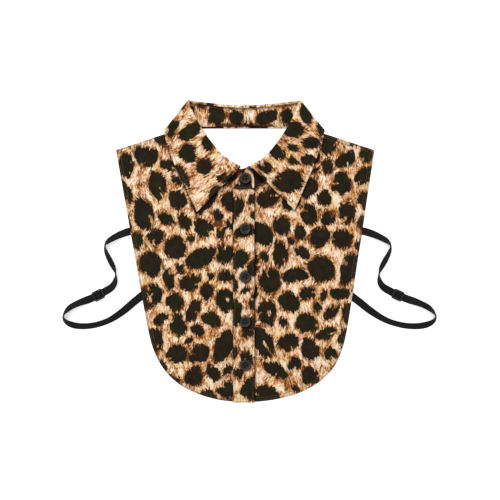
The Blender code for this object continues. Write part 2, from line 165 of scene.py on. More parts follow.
FURROWS, PLACKET_LIFT = (0.3, 0.6), 0.7    # dents under the placket's edges, lift of its free one
PANEL_DENT, PANEL_PUCKER = 0.16, 0.16      # depth of a seam, height of the puckers beside it
PLACKET_DENT, PLACKET_PUCKER = 0.18, 0.12
PLACKET_LINE, LEAF_LINE, STAND_LINE = 2.2, 4.2, 2.0    # seams, from the edge
SEAM_LIFT = 0.02                           # how far a stitch's middle lies off the cloth
PLACKET_HIDES = 14.6                       # half width of the hem that the placket hides

# Sizes of spot: smallest and largest radius, and the share of the spotted cloth
# that they cover.
SPOT_SIZES = ((14.5, 18.0, 0.20), (11.2, 14.2, 0.56), (8.2, 10.6, 0.20), (4.4, 6.6, 0.04))
SPOT_COVER, SPOT_GAP, SPOT_TALL = 0.65, 4.6, 1.16
SPOT_MEET, SPOT_PUSHES = 1.1, 260          # how round spots stay where they meet, rounds of pushing
PANEL_SEEDS, PLACKET_SEED, STAND_SEED, LEAF_SEED = {1: 78, -1: 16}, 96, 310, 182

# the shank thread in the button holes is painted near-black as their shade
THREAD_COLOURS = {"button": "1f1b15", "shank": "060504", "buttonhole": "5c5347"}
SLIDER_ROUND, SLIDER_HIGHLIGHT = 0.28, 0.22   # radius of an adjuster's edges, painted highlight on its rim
TABLE_HALF, TABLE_Z = 4.0, -0.0002         # in metres


def lerp(a, b, t):
    return a + (b - a) * t


def smoothstep(t):
    t = np.clip(t, 0.0, 1.0)
    return t * t * (3.0 - 2.0 * t)


def unit(vectors):
    return vectors / np.maximum(np.linalg.norm(vectors, axis=-1, keepdims=True), 1e-12)


def blend(rows, at):
    """Smooth curve through rows (n, k) at row numbers that may be fractional."""
    rows, at = np.asarray(rows, float), np.asarray(at, float)
    last = len(rows) - 1
    i = np.minimum(at.astype(int), last - 1)
    t = (at - i)[:, None]
    p1, p2 = rows[i], rows[i + 1]
    p0 = np.where((i > 0)[:, None], rows[np.maximum(i - 1, 0)], p1 * 2 - p2)
    p3 = np.where((i + 2 <= last)[:, None], rows[np.minimum(i + 2, last)], p2 * 2 - p1)
    return 0.5 * (2 * p1 + (p2 - p0) * t + (2 * p0 - 5 * p1 + 4 * p2 - p3) * t ** 2
                  + (3 * p1 - p0 - 3 * p2 + p3) * t ** 3)


def steps(count):
    """0 to 1 in even steps, with one more close to each end for the rounded edge."""
    return np.sort(np.append(np.linspace(0.0, 1.0, count + 1),
                             (0.35 / count, 1.0 - 0.35 / count)))


def soft_noise(x, y, scale, seed):
    """Smooth random value from 0 to 1 over the plane, in patches of about scale."""
    table = np.random.default_rng(seed).random((61, 61))
    x, y = np.asarray(x) / scale + 1000.0, np.asarray(y) / scale + 1000.0
    i, j = np.floor(x).astype(int), np.floor(y).astype(int)
    s, t = smoothstep(x - i), smoothstep(y - j)
    i, j, k, m = i % 61, j % 61, (i + 1) % 61, (j + 1) % 61
    return lerp(lerp(table[i, j], table[k, j], s), lerp(table[i, m], table[k, m], s), t)


def distance_to_path(points, path):
    """Distance in the plane from each point to a path of straight pieces."""
    a, b = path[:-1, :2], path[1:, :2]
    run = b - a
    length = np.maximum((run ** 2).sum(1), 1e-12)
    found = []
    for part in np.array_split(points[:, :2], max(1, len(points) // 3000)):
        off = part[:, None] - a[None]
        t = np.clip((off * run).sum(2) / length, 0.0, 1.0)
        found.append(np.sqrt(((off - t[..., None] * run) ** 2).sum(2)).min(1))
    return np.concatenate(found)


def lay(x, y):
    """How far the laid cloth stands off the table at a place."""
    x, y = np.asarray(x, float), np.asarray(y, float)
    height = np.zeros(np.broadcast(x, y).shape)
    for x0, y0, x1, y1, wide, high in FOLDS:
        run = np.array((x1 - x0, y1 - y0))
        t = ((x - x0) * run[0] + (y - y0) * run[1]) / (run @ run)
        inside = np.clip(t, 0.0, 1.0)
        away = np.hypot(x - x0 - inside * run[0], y - y0 - inside * run[1])
        fade = 1.0 - 0.55 * inside
        height += high * fade * np.exp(-(away / (wide * (0.8 + 0.5 * inside))) ** 2)
    return height * bpy.context.scene.collar_cloth.fold_height


# ---- print ------------------------------------------------------------------

def scatter_spots(rng, low, high):
    """Middles and radii of spots that have pushed each other apart over a piece of cloth."""
    area = np.prod(high - low)
    radii = []
    for smallest, largest, share in SPOT_SIZES:
        covered = 0.0
        while covered < area * SPOT_COVER * share:
            radii.append(rng.uniform(smallest, largest))
            covered += math.pi * radii[-1] ** 2 * SPOT_TALL
    radii = np.array(radii)
    squeeze = np.array((1.0, 1.0 / SPOT_TALL))
    low, high = low * squeeze, high * squeeze
    middles = rng.uniform(low, high, (len(radii), 2))
    apart = radii[:, None] + radii[None] + SPOT_GAP
    for _ in range(SPOT_PUSHES):
        off = middles[:, None] - middles[None]
        away = np.hypot(off[..., 0], off[..., 1]) + np.eye(len(radii)) * 1e6 + 1e-6
        push = np.clip(apart - away, 0.0, None) / away
        weight = radii[None] ** 2 / (radii[:, None] ** 2 + radii[None] ** 2)
        middles += 0.5 * (off * (push * weight)[..., None]).sum(1)
        middles = np.clip(middles, low, high)
    return middles / squeeze, radii


def draw_spot(rng, size):
    """One spot, as a function that gives how far places lie inside it, whole and notched."""
    aspect, turn = rng.uniform(0.80, 1.32) * SPOT_TALL ** 0.5, rng.normal(0.0, 0.75)
    waves = rng.uniform(-1.0, 1.0, 5) * (0.05, 0.07, 0.05, 0.04, 0.03)
    starts = rng.uniform(0.0, 2 * math.pi, 5)
    lobed, notched, holed = rng.random(3) < (0.5, 0.6 * (size > 7.0), 0.3 * (size > 14.0))
    lobe_turn, lobe_out, lobe_size = rng.uniform((0.0, 0.6, 0.5), (2 * math.pi, 0.95, 0.72))
    angle, deep, wide = rng.uniform((0.0, 0.35, 2.6), (2 * math.pi, 0.8, 6.0))

    def distance(off):
        x = (off[:, 0] * math.cos(turn) + off[:, 1] * math.sin(turn)) * aspect
        y = (off[:, 1] * math.cos(turn) - off[:, 0] * math.sin(turn)) / aspect
        bearing, away = np.arctan2(y, x), np.hypot(x, y)
        wave = 1.0 + sum(w * np.cos(k * bearing + s)
                         for k, (w, s) in enumerate(zip(waves, starts), 2))
        whole = size * wave * (0.9 if lobed else 1.0) - away
        if lobed:
            out = size * lobe_out
            lobe = np.hypot(x - out * math.cos(lobe_turn), y - out * math.sin(lobe_turn))
            whole = np.logaddexp(whole, size * lobe_size * wave - lobe)
        inside = whole
        if notched:
            bend = angle + 0.5 * np.sin(away * 0.12 + starts[0])
            nx, ny = np.cos(bend), np.sin(bend)
            depth = x * nx + y * ny - size * (1.0 - deep)
            across = np.abs(y * nx - x * ny) - wide * np.clip(0.08 + depth / size, 0.0, 1.3)
            inside = np.minimum(inside, np.maximum(across, -depth))
        if holed:
            inside = np.minimum(inside, np.hypot(x - size * 0.14, (y + size * 0.08) * 0.8)
                                - size * (0.22 + 0.09 * np.cos(3 * bearing + starts[1])))
        return whole, inside

    return distance


def leopard(points, seed, shade):
    """Spot edge distance, spot tint, end of a spot and painted shade at flat places of a cut piece."""
    rng = np.random.default_rng(seed)
    middles, radii = scatter_spots(rng, points.min(0) - 14.0, points.max(0) + 14.0)
    best, second, field, tint, end = (
        np.full(len(points), start) for start in (-30.0, -30.0, -14.0, 0.5, 0.5))
    for place, size in zip(middles, radii):
        colour, spot = rng.random(), draw_spot(rng, size)
        near = np.where(np.hypot(*(points - place).T) < size * 2.6 + 12.0)[0]
        if not len(near):
            continue
        off = points[near] - place
        whole, inside = spot(off)
        ahead = whole > best[near]
        second[near] = np.where(ahead, best[near], np.maximum(second[near], whole))
        first = near[ahead]
        best[first], field[first], tint[first] = whole[ahead], inside[ahead], colour
        end[first] = (np.abs(off[:, 1]) / (np.hypot(*off.T) + 0.5))[ahead]
    apart = (best - second) / 2 - SPOT_GAP * 0.26
    field = -SPOT_MEET * np.logaddexp(-(field + 0.5) / SPOT_MEET, -apart / SPOT_MEET)
    return np.column_stack((field, tint, end, shade))


def painted_shade(points, *lines):
    """Painted shade on cloth close to edges that lie on it: (path, width, strength) for each."""
    shade = np.zeros(len(points))
    for path, width, strength in lines:
        shade = np.maximum(shade, strength * np.exp(-(distance_to_path(points, path) / width) ** 2))
    return shade


# ---- mesh makers ------------------------------------------------------------

def add_object(name, mesh):
    made = bpy.data.objects.new(name, mesh)
    bpy.context.scene.collection.objects.link(made)
    return made


def closed_shell(name, outer, inner, flat, colours, materials):
    """A wall of cloth between two grids of points, with a rounded rim.

    outer and inner are (rows, columns, 3), flat is (rows, columns, 2) and gives the
    place on the flat cut, and colours is (rows, columns, 4) or None.
    """
    rows, columns = outer.shape[:2]
    ring = np.array([(0, j) for j in range(columns)] + [(i, columns - 1) for i in range(1, rows)]
                    + [(rows - 1, j) for j in range(columns - 2, -1, -1)]
                    + [(i, 0) for i in range(rows - 2, 0, -1)])
    ring, next_in = tuple(ring.T), tuple(np.clip(ring, 1, (rows - 2, columns - 2)).T)
    middle = (outer + inner) / 2
    inward = middle[next_in] - middle[ring]
    pull = unit(inward) * np.minimum(0.3, 0.4 * np.linalg.norm(inward, axis=1))[:, None]
    outer, inner = outer.copy(), inner.copy()
    outer[ring] += pull
    inner[ring] += pull

    def everywhere(grid):
        """A grid's values for the outer face, the inner face and the rim."""
        values = grid.reshape(-1, grid.shape[-1])
        return np.vstack((values, values, grid[ring]))

    count, around_count = rows * columns, len(ring[0])
    number = np.arange(count).reshape(rows, columns)
    quads = np.stack((number[:-1, :-1], number[:-1, 1:], number[1:, 1:], number[1:, :-1]),
                     axis=-1).reshape(-1, 4)
    around = number[ring]
    rim = 2 * count + np.arange(around_count)
    after = np.roll(np.arange(around_count), -1)
    faces = np.vstack((quads, quads[:, ::-1] + count,
                       np.column_stack((around, rim, rim[after], around[after])),
                       np.column_stack((rim, around + count, around[after] + count, rim[after]))))
    points = np.vstack((outer.reshape(-1, 3), inner.reshape(-1, 3), middle[ring]))

    a, b, c, d = (points[faces[:, k]] for k in range(4))
    volume = (np.cross(b - a, c - a) * a).sum() + (np.cross(c - a, d - a) * a).sum()
    if volume < 0:
        faces = faces[:, ::-1]
    mesh = bpy.data.meshes.new(name)
    mesh.from_pydata((points * MM).tolist(), [], faces.tolist())
    for material in materials:
        mesh.materials.append(material)
    side = np.zeros(len(faces), np.int32)
    side[len(quads):2 * len(quads)] = len(materials) - 1
    mesh.polygons.foreach_set("material_index", side)
    mesh.shade_smooth()
    uv = (everywhere(flat) * MM)[faces.ravel()]
    mesh.uv_layers.new(name="cloth").data.foreach_set("uv", uv.astype(np.float32).ravel())
    if colours is not None:
        layer = mesh.attributes.new("print", "FLOAT_COLOR", "POINT")
        layer.data.foreach_set("color", everywhere(colours).astype(np.float32).ravel())
    mesh.validate()
    return add_object(name, mesh)


def grid_normals(points):
    """Unit normals of a grid of points."""
    return unit(np.cross(np.gradient(points, axis=1), np.gradient(points, axis=0)))


def run_length(points):
    """Distance travelled along a line of points."""
    return np.append(0.0, np.cumsum(np.linalg.norm(np.diff(points, axis=0), axis=1)))


def stitch_places(points):
    """Places of the stitches of a seam along a path, with the direction there."""
    run = run_length(points)
    count = max(2, int(run[-1] / (bpy.context.scene.collar_cloth.stitch_pitch / MM)))
    at = (np.arange(count) + 0.5) * run[-1] / count
    ahead, behind = np.minimum(at + 0.6, run[-1]), np.maximum(at - 0.6, 0.0)

    def place(where):
        return np.column_stack([np.interp(where, run, line) for line in points.T])

    return place(at), unit((place(ahead) - place(behind))[:, :3])


def ahead_3d(ahead, up):
    """A direction in the plane, laid into the surface with that way up."""
    if ahead.shape[1] == 2:
        ahead = np.column_stack((ahead, np.zeros(len(ahead))))
    return unit(ahead - up * (ahead * up).sum(1)[:, None])


def seam_row(path):
    """Stitches along a path of places with the way up there, as sew takes them."""
    points, ahead = stitch_places(path)
    up = unit(points[:, 3:])
    return points[:, :3], ahead_3d(ahead, up), up


def on_surface(heights, path, reach=0.6):
    """Points on the cloth's top over a flat path, and the way up there."""
    slope = [(heights(path + shift)[0] - heights(path - shift)[0]) / (2 * reach)
             for shift in np.eye(2) * reach]
    up = unit(np.column_stack((-slope[0], -slope[1], np.ones(len(path)))))
    return np.column_stack((path, heights(path)[0])), up


def evaluated_mesh(made):
    """A new mesh of what an object's modifiers or its curve give."""
    bpy.context.view_layer.update()
    graph = bpy.context.evaluated_depsgraph_get()
    return bpy.data.meshes.new_from_object(made.evaluated_get(graph), depsgraph=graph)


def face_outwards(mesh, weld=None):
    """Turns all faces outwards, after joining points that are closer than weld."""
    shape = bmesh.new()
    shape.from_mesh(mesh)
    if weld:
        bmesh.ops.remove_doubles(shape, verts=shape.verts, dist=weld)
    bmesh.ops.recalc_face_normals(shape, faces=shape.faces)
    shape.to_mesh(mesh)
    shape.free()
    mesh.shade_smooth()


# ---- node helpers -----------------------------------------------------------

class Wire:
    """An output socket that takes part in Python sums; each sum adds a Math node."""

    def __init__(self, tree, socket):
        self.tree, self.socket = tree, socket

    def __add__(self, other):
        return self.tree.maths("ADD", self, other)

    __radd__ = __add__

    def __sub__(self, other):
        return self.tree.maths("SUBTRACT", self, other)

    def __rsub__(self, other):
        return self.tree.maths("SUBTRACT", other, self)

    def __mul__(self, other):
        return self.tree.maths("MULTIPLY", self, other)

    __rmul__ = __mul__


class Tree:
    """Adds nodes to a node tree."""

    def __init__(self, tree):
        self.tree = tree

    def node(self, kind, settings=None, inputs=None, out=0):
        """Adds a node: its settings first, then the values or wires of its sockets."""
        made = self.tree.nodes.new(kind)
        for name, value in (settings or {}).items():
            setattr(made, name, value)
        for name, value in (inputs or {}).items():
            if isinstance(value, Wire):
                self.tree.links.new(value.socket, made.inputs[name])
            else:
                made.inputs[name].default_value = value
        return Wire(self, made.outputs[out])

    def maths(self, operation, *values):
        return self.node("ShaderNodeMath", {"operation": operation}, dict(enumerate(values)))

    def mix(self, factor, a, b, blend_type="MIX"):
        a, b = ((*colour, 1.0) if isinstance(colour, tuple) else colour for colour in (a, b))
        return self.node("ShaderNodeMix", {"data_type": "RGBA", "blend_type": blend_type},
                         {0: factor, 6: a, 7: b}, out=2)

    def ramp(self, factor, stops):
        """Colour from a row of stops (place, colour)."""
        made = self.node("ShaderNodeValToRGB", {}, {0: factor})
        elements = made.socket.node.color_ramp.elements
        while len(elements) < len(stops):
            elements.new(0.5)
        for stop, (place, colour) in zip(elements, stops):
            stop.position, stop.color = place, (*colour, 1.0)
        return made

    def rise(self, value, low, high):
        """0 below low, 1 above high and smooth between them."""
        return self.node("ShaderNodeMapRange", {"interpolation_type": "SMOOTHSTEP"},
                         {0: value, 1: low, 2: high, 3: 0.0, 4: 1.0})

    def noise(self, place, scale=1.0, detail=2.0, rough=0.5):
        return self.node("ShaderNodeTexNoise", {"noise_dimensions": "3D"},
                         {"Vector": place, "Scale": scale, "Detail": detail, "Roughness": rough})

    def stretch(self, place, factors):
        return self.node("ShaderNodeVectorMath", {"operation": "MULTIPLY"}, {0: place, 1: factors})

    def bump(self, strength, distance, height):
        return self.node("ShaderNodeBump", {}, {
            "Strength": strength, "Distance": distance, "Height": height})

    def object_place(self):
        return self.node("ShaderNodeTexCoord", out=3)

    def parts(self, value, kind="Color"):
        """The three values of a colour or a vector."""
        made = self.tree.nodes.new(f"ShaderNodeSeparate{kind}")
        self.tree.links.new(value.socket, made.inputs[0])
        return [Wire(self, socket) for socket in made.outputs]

    def cut_place(self):
        """Place on the flat cut in millimetres, then its parts across and along."""
        flat = self.stretch(self.node("ShaderNodeUVMap", {"uv_map": "cloth"}), (1 / MM, 1 / MM, 1 / MM))
        return flat, *self.parts(flat, "XYZ")[:2]


def linear(colour):
    """A display colour as the linear values that shaders take."""
    return tuple(c / 12.92 if c <= 0.04045 else ((c + 0.055) / 1.055) ** 2.4 for c in colour)


def hex_colour(code):
    return linear(tuple(int(code[k:k + 2], 16) / 255 for k in (0, 2, 4)))


def scaled(colour, factor, more=0.0):
    return tuple(min(1.0, c * factor + more) for c in colour)


def new_material(name, settings):
    """A material with its Principled shader; constant settings go on its sockets."""
    made = bpy.data.materials.new(name)
    made.use_nodes = True
    shader = made.node_tree.nodes["Principled BSDF"]
    for socket, value in settings.items():
        shader.inputs[socket].default_value = value
    return made, Tree(made.node_tree), shader


def wire_up(tree, shader, **wires):
    """Links wires to the shader's sockets, whose spaces are written as underscores."""
    for name, wire in wires.items():
        tree.tree.links.new(wire.socket, shader.inputs[name.replace("_", " ")])


# ---- finishes ---------------------------------------------------------------

def printed_cotton(name, reverse=False):
    """Leopard print on cotton: spots with furry edges over streaked tan and cream."""
    cloth = bpy.context.scene.collar_cloth
    made, tree, shader = new_material(name, {
        "Specular IOR Level": 0.08, "Sheen Weight": 0.02, "Sheen Roughness": 0.5})
    flat, across, along = tree.cut_place()
    # the fourth channel of this attribute is painted shade, not print
    values = tree.node("ShaderNodeAttribute", {"attribute_name": "print"})
    field, tint, end = tree.parts(values)
    shade = Wire(tree, values.socket.node.outputs["Alpha"])

    def patches(wide, tall, detail=1.0, place=flat, rough=0.5):
        """Noise in patches, that many to a millimetre across and along."""
        return tree.noise(tree.stretch(place, (wide, tall, 1.0)), 1.0, detail, rough)

    def leaned(scale, amount):
        """Places that lean to one side and the other in patches, as the hairs do."""
        return tree.node("ShaderNodeCombineXYZ", {}, {
            0: across + (patches(scale, scale) - 0.5) * amount, 1: along, 2: 0.0})

    def strokes(place, wide, tall):
        """Tone of overlapping brush strokes of that size."""
        return tree.parts(tree.node("ShaderNodeTexVoronoi", {"voronoi_dimensions": "2D"}, {
            "Vector": tree.stretch(place, (1.0 / wide, 1.0 / tall, 1.0)), "Scale": 1.0,
            "Randomness": 1.0}, out=1))[0]

    wavy, wavier = leaned(0.020, 46.0), leaned(0.055, 14.0)
    warm = patches(0.062, 0.05) * 0.5 + patches(0.15, 0.09, place=wavy) * 0.5
    short, long = strokes(wavy, 1.15, 3.6), strokes(wavier, 1.9, 6.6)
    hairs, fine = patches(0.76, 0.21, 2.5, wavy, 0.6), patches(1.9, 0.7, 2.0, wavier, 0.6)
    strong = patches(0.11, 0.09) * 4.4 - 1.2
    tone = (0.50 + strong * ((short - 0.5) * 0.50 + (hairs - 0.5) * 1.9) + (long - 0.5) * 0.50
            + (fine - 0.5) * 1.8 - (warm - 0.5) * 2.8
            + (tree.rise(field * -1.0, 0.0, 7.0) - 0.45) * 0.26)
    ground = tree.ramp(tone, (
        (0.04, hex_colour("5f381c")), (0.20, linear(cloth.dark_ground)),
        (0.40, linear(cloth.mid_ground)), (0.58, hex_colour("dfb488")),
        (0.76, linear(cloth.light_ground)), (0.98, hex_colour("f8e7cf"))))
    # the ground turns pink, golden and pale in places
    for cloud, low, high, amount, cast in (
            (patches(0.05, 0.05), 0.46, 0.64, 0.5, (1.04, 0.90, 0.98)),
            (patches(0.075, 0.06, 2.0), 0.50, 0.66, 0.8, (0.98, 0.92, 0.66)),
            (patches(0.045, 0.07, 2.0), 0.48, 0.66, 0.7, (0.98, 1.05, 1.10))):
        ground = tree.mix(tree.rise(cloud, low, high) * amount, ground, cast, "MULTIPLY")

    furry = tree.rise(end, 0.15, 0.95)
    edge = (field + (patches(0.42, 0.12, place=wavy) - 0.5) * (4.0 + furry * 8.0)
            + (short - 0.5) * (1.0 + furry * 2.0) + (fine - 0.5) * 2.2)
    ground = tree.mix(tree.rise(edge, -1.6, 0.3) * 0.38, ground, hex_colour("7d4c26"))
    spot = tree.rise(edge, -0.35, 0.45)
    ink = tree.ramp(tint + (patches(0.06, 0.06) - 0.5) * 1.5, (
        (0.0, hex_colour("1e200d")), (0.22, linear(cloth.spot)), (0.46, hex_colour("2b210f")),
        (0.62, hex_colour("1d1d1b")), (0.78, hex_colour("2b1b15")), (0.88, hex_colour("291f0f")),
        (1.0, hex_colour("22260f"))))
    ink = tree.mix(tree.rise(patches(0.11, 0.11, 2.0), 0.36, 0.62) * 0.45, ink, hex_colour("12110a"))
    ink = tree.mix(tree.rise(fine + (hairs - 0.5) * 0.6, 0.50, 0.85) * 0.26, ink,
                   hex_colour("54401f"))
    # painted shade: the colour is multiplied towards dark brown by the shade channel
    colour = tree.mix(shade, tree.mix(spot, ground, ink), hex_colour("4a2812"), "MULTIPLY")

    turn = 2 * math.pi * MM / cloth.weave_pitch
    weave = (tree.maths("SINE", across * turn) * tree.maths("SINE", along * turn)
             + (patches(2.2, 2.2, 2.0) - 0.5) * 1.3)
    rough = 0.82 + (hairs - 0.5) * 0.12 - spot * 0.06
    if reverse:
        colour = tree.mix(0.46, colour, hex_colour("dcc8b0"))
        rough = rough + 0.05
    wire_up(tree, shader, Base_Color=colour, Roughness=rough, Normal=tree.bump(0.35, 0.00006, weave))
    return made


def sewing_thread(name, colour):
    """Twisted thread, lighter and darker in random patches."""
    made, tree, shader = new_material(name, {"Specular IOR Level": 0.12, "Sheen Weight": 0.05})
    place = tree.object_place()
    shade = tree.noise(place, 900.0, 2.0)
    twist = tree.noise(tree.stretch(place, (2600.0, 2600.0, 900.0)), 1.0, 1.0)
    wire_up(tree, shader, Base_Color=tree.mix(tree.rise(shade, 0.3, 0.7), colour,
                                              scaled(colour, 1.9, 0.003)),
            Roughness=0.55 + (shade - 0.5) * 0.3, Normal=tree.bump(0.5, 0.00008, twist))
    return made


def black_elastic(name):
    """Woven elastic: dull ribs along it, with a painted glint between them and along the picks, and
    darker along both edges.
    """
    elastic = bpy.context.scene.collar_elastic
    made, tree, shader = new_material(name, {"Specular IOR Level": 0.06, "Sheen Weight": 0.01})
    flat, across, along = tree.cut_place()
    rib = 2 * math.pi * elastic.rib_count / STRAP_WIDTH
    crest = 0.5 + 0.5 * tree.maths("COSINE", across * rib)
    picks = 0.5 + 0.5 * tree.maths("SINE", along * 7.4 + tree.maths("SINE", across * rib * 0.5) * 1.6)
    fuzz = tree.noise(tree.stretch(flat, (1.6, 0.7, 1.0)), detail=3.0, rough=0.6)
    near_edges = tree.rise(tree.maths("ABSOLUTE", across), 3.7, 4.4)
    base = linear(elastic.colour)
    # painted glint: lighter between the ribs and along the picks
    colour = tree.mix(tree.rise(crest * picks + (fuzz - 0.5) * 0.9, 0.2, 0.9),
                      base, scaled(base, 2.2, 0.003))
    # darker along both edges
    wire_up(tree, shader, Base_Color=tree.mix(near_edges * 0.7, colour, scaled(base, 0.55)),
            Roughness=0.62 + (fuzz - 0.5) * 0.3 + near_edges * 0.1,
            Normal=tree.bump(0.6, 0.00012, picks * 0.6 + crest * 0.3 + fuzz * 0.4))
    return made


def black_plastic(name, colour, highlight_colour):
    """Polished black plastic with fine rubbing marks, a painted highlight on its rims and painted shade
    in its holes, which are marked -1 and go near-black.
    """
    made, tree, shader = new_material(name, {
        "Specular IOR Level": 0.22, "Coat Weight": 0.06, "Coat Roughness": 0.12})
    painted_light = tree.node("ShaderNodeAttribute", {"attribute_name": "painted_light"}, out=2)
    place = tree.object_place()
    cloud = tree.noise(place, 240.0, 3.0)
    marks = tree.noise(tree.stretch(place, (2400.0, 500.0, 900.0)), 1.0, 2.0, 0.6)
    base = linear(colour)
    colour = tree.mix(tree.rise(cloud * 0.6 + marks * 0.4, 0.42, 0.68),
                      base, scaled(base, 1.6, 0.002))
    # painted highlight on the rims' crests, then painted shade: holes marked -1 go near-black
    colour = tree.mix(painted_light * (0.7 + 0.6 * cloud), colour, linear(highlight_colour))
    colour = tree.mix(tree.rise(painted_light, -0.9, 0.0), (0.002, 0.002, 0.0015), colour)
    rough = bpy.context.scene.collar_plastic.roughness
    wire_up(tree, shader, Base_Color=colour,
            Roughness=rough + (cloud - 0.5) * 0.16 + (marks - 0.5) * 0.14,
            Normal=tree.bump(0.16, 0.00004, marks + cloud))
    return made


def shared(name, maker, *values):
    """The material of that name, made the first time that it is asked for."""
    return bpy.data.materials.get(name) or maker(name, *values)


def thread(use):
    """The thread for one use; the seams take theirs from the settings."""
    code = THREAD_COLOURS.get(use)
    colour = hex_colour(code) if code else linear(bpy.context.scene.collar_cloth.thread)
    return shared(f"{use} thread", sewing_thread, colour)


def printed_shell(name, node, outer, inner, flat, seed, shade, single=False):
    """A cut piece in place of a node; single cloth shows its paler reverse underneath."""
    materials = [shared("printed cotton", printed_cotton)]
    if single:
        materials.append(shared("printed cotton reverse", printed_cotton, True))
    colours = leopard(flat.reshape(-1, 2), seed, shade).reshape(*flat.shape[:2], 4)
    made = closed_shell(name, outer, inner, flat, colours, materials)
    return finish_piece(made, "print_cloth", node)


# ---- stitching --------------------------------------------------------------

def stitch_tree():
    """Geometry nodes that lay one arched stitch on every point of a mesh."""
    group = bpy.data.node_groups.get("lay stitches")
    if group:
        return group
    group = bpy.data.node_groups.new("lay stitches", "GeometryNodeTree")
    group.interface.new_socket("Geometry", in_out="OUTPUT", socket_type="NodeSocketGeometry")
    group.interface.new_socket("Geometry", in_out="INPUT", socket_type="NodeSocketGeometry")
    for name, kind, value in (
            ("Stitch Length", "NodeSocketFloat", 0.0027), ("Thread Width", "NodeSocketFloat", 0.0005),
            ("Arch", "NodeSocketFloat", 0.00025), ("Unevenness", "NodeSocketFloat", 0.08),
            ("Seed", "NodeSocketInt", 7), ("Thread", "NodeSocketMaterial", None)):
        socket = group.interface.new_socket(name, in_out="INPUT", socket_type=kind)
        if value is not None:
            socket.default_value = value
    tree = Tree(group)
    given = group.nodes.new("NodeGroupInput")
    points, length, width, arch, uneven, seed, thread = (
        Wire(tree, given.outputs[k]) for k in range(7))
    ends = [tree.node("ShaderNodeCombineXYZ", {}, {0: length * side, 2: width * -0.35})
            for side in (-0.5, 0.5)]
    crown = tree.node("ShaderNodeCombineXYZ", {}, {2: arch * 2.0 + width * 0.35})
    line = tree.node("GeometryNodeCurveQuadraticBezier", {}, {
        "Resolution": 4, "Start": ends[0], "Middle": crown, "End": ends[1]})
    ring = tree.node("GeometryNodeCurvePrimitiveCircle", {}, {
        "Resolution": 6, "Radius": width * 0.5})
    stitch = tree.node("GeometryNodeCurveToMesh", {}, {
        "Curve": line, "Profile Curve": ring, "Fill Caps": True})
    along, normal = (tree.node("GeometryNodeInputNamedAttribute", {"data_type": "FLOAT_VECTOR"},
                               {"Name": name}) for name in ("along", "normal"))
    turned = tree.node("FunctionNodeAlignRotationToVector", {"axis": "X"}, {"Vector": along})
    turned = tree.node("FunctionNodeAlignRotationToVector", {"axis": "Z", "pivot_axis": "X"},
                       {"Rotation": turned, "Vector": normal})
    size = tree.node("FunctionNodeRandomValue", {"data_type": "FLOAT"}, {
        2: 1.0 - uneven, 3: 1.0 + uneven, "Seed": seed}, out=1)
    scale = tree.node("ShaderNodeCombineXYZ", {}, {0: size, 1: 1.0, 2: 1.0})
    laid = tree.node("GeometryNodeInstanceOnPoints", {}, {
        "Points": points, "Instance": stitch, "Rotation": turned, "Scale": scale})
    real = tree.node("GeometryNodeRealizeInstances", {}, {0: laid})
    smooth = tree.node("GeometryNodeSetShadeSmooth", {}, {0: real})
    done = tree.node("GeometryNodeSetMaterial", {}, {"Geometry": smooth, "Material": thread})
    result = group.nodes.new("NodeGroupOutput")
    group.links.new(done.socket, result.inputs[0])
    return group


def sew(name, rows, surface, seed, length=None, width=None, arch=0.25, slot="print_cloth"):
    """One piece with a stitch at every place of rows (places, ways along, ways up)."""
    cloth = bpy.context.scene.collar_cloth
    places, along, normals = (np.vstack(part) for part in zip(*rows))
    mesh = bpy.data.meshes.new(name)
    mesh.from_pydata((places * MM).tolist(), [], [])
    for title, values in (("along", along), ("normal", normals)):
        layer = mesh.attributes.new(title, "FLOAT_VECTOR", "POINT")
        layer.data.foreach_set("vector", values.astype(np.float32).ravel())
    made = add_object(name, mesh)
    modifier = made.modifiers.new("Stitches", "NODES")
    modifier.node_group = stitch_tree()
    sizes = {"Stitch Length": length * MM if length else cloth.stitch_length,
             "Thread Width": width * MM if width else cloth.thread_width,
             "Arch": arch * MM, "Seed": seed, "Thread": surface}
    for item in modifier.node_group.interface.items_tree:
        if item.in_out == "INPUT" and item.name in sizes:
            modifier[item.identifier] = sizes[item.name]
    result = evaluated_mesh(made)
    made.modifiers.clear()
    made.data = result
    result.name = name
    return finish_piece(made, slot)


def mark_painted_light(mesh, values):
    """Writes each point's painted highlight, or -1 for painted shade in holes, which the plastic reads.
    """
    layer = mesh.attributes.new("painted_light", "FLOAT", "POINT")
    layer.data.foreach_set("value", np.array(values, np.float32))


def finish_piece(made, slot, *nodes):
    """Ties a piece to the body and hides the nodes that it replaces; slot is not used."""
    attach(made, "root")
    if nodes:
        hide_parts(*nodes)
    return made


# ---- front panels -----------------------------------------------------------

def side_distance(y):
    """Distance of the straight side from the middle."""
    return SHOULDER_HALF - SIDE_TAPER * (SHOULDER_TIP_Y - y)


def hem_y(share):
    """Height of the hem at a share of the way to the side."""
    drop = (1.0 - np.minimum(np.abs(share), 1.0) ** 2) ** (1.0 / HEM_POWER)
    return lerp(HEM_START_Y, HEM_Y, drop)


def edge_distance(y):
    """Distance of the side from the middle, drawn in along the hem."""
    drop = (HEM_START_Y - np.maximum(y, HEM_CORNER_Y)) / (HEM_START_Y - HEM_Y)
    return side_distance(y) * np.sqrt(1.0 - np.maximum(0.0, drop) ** HEM_POWER)


def top_y(distance):
    """Height of the neck edge and the shoulder at a distance from the middle."""
    distance = np.abs(distance)
    (neck_x, neck_y), (break_x, break_y) = NECK_POINT, SHOULDER_BREAK
    rise = 1.0 - (1.0 - np.minimum(distance / neck_x, 1.0) ** NECK_POWER) ** (1.0 / NECK_POWER)
    shoulder = np.interp(distance, (neck_x, break_x, SHOULDER_HALF),
                         (neck_y, break_y, SHOULDER_TIP_Y))
    return np.where(distance <= neck_x, lerp(NECK_FRONT_Y, neck_y, rise), shoulder)


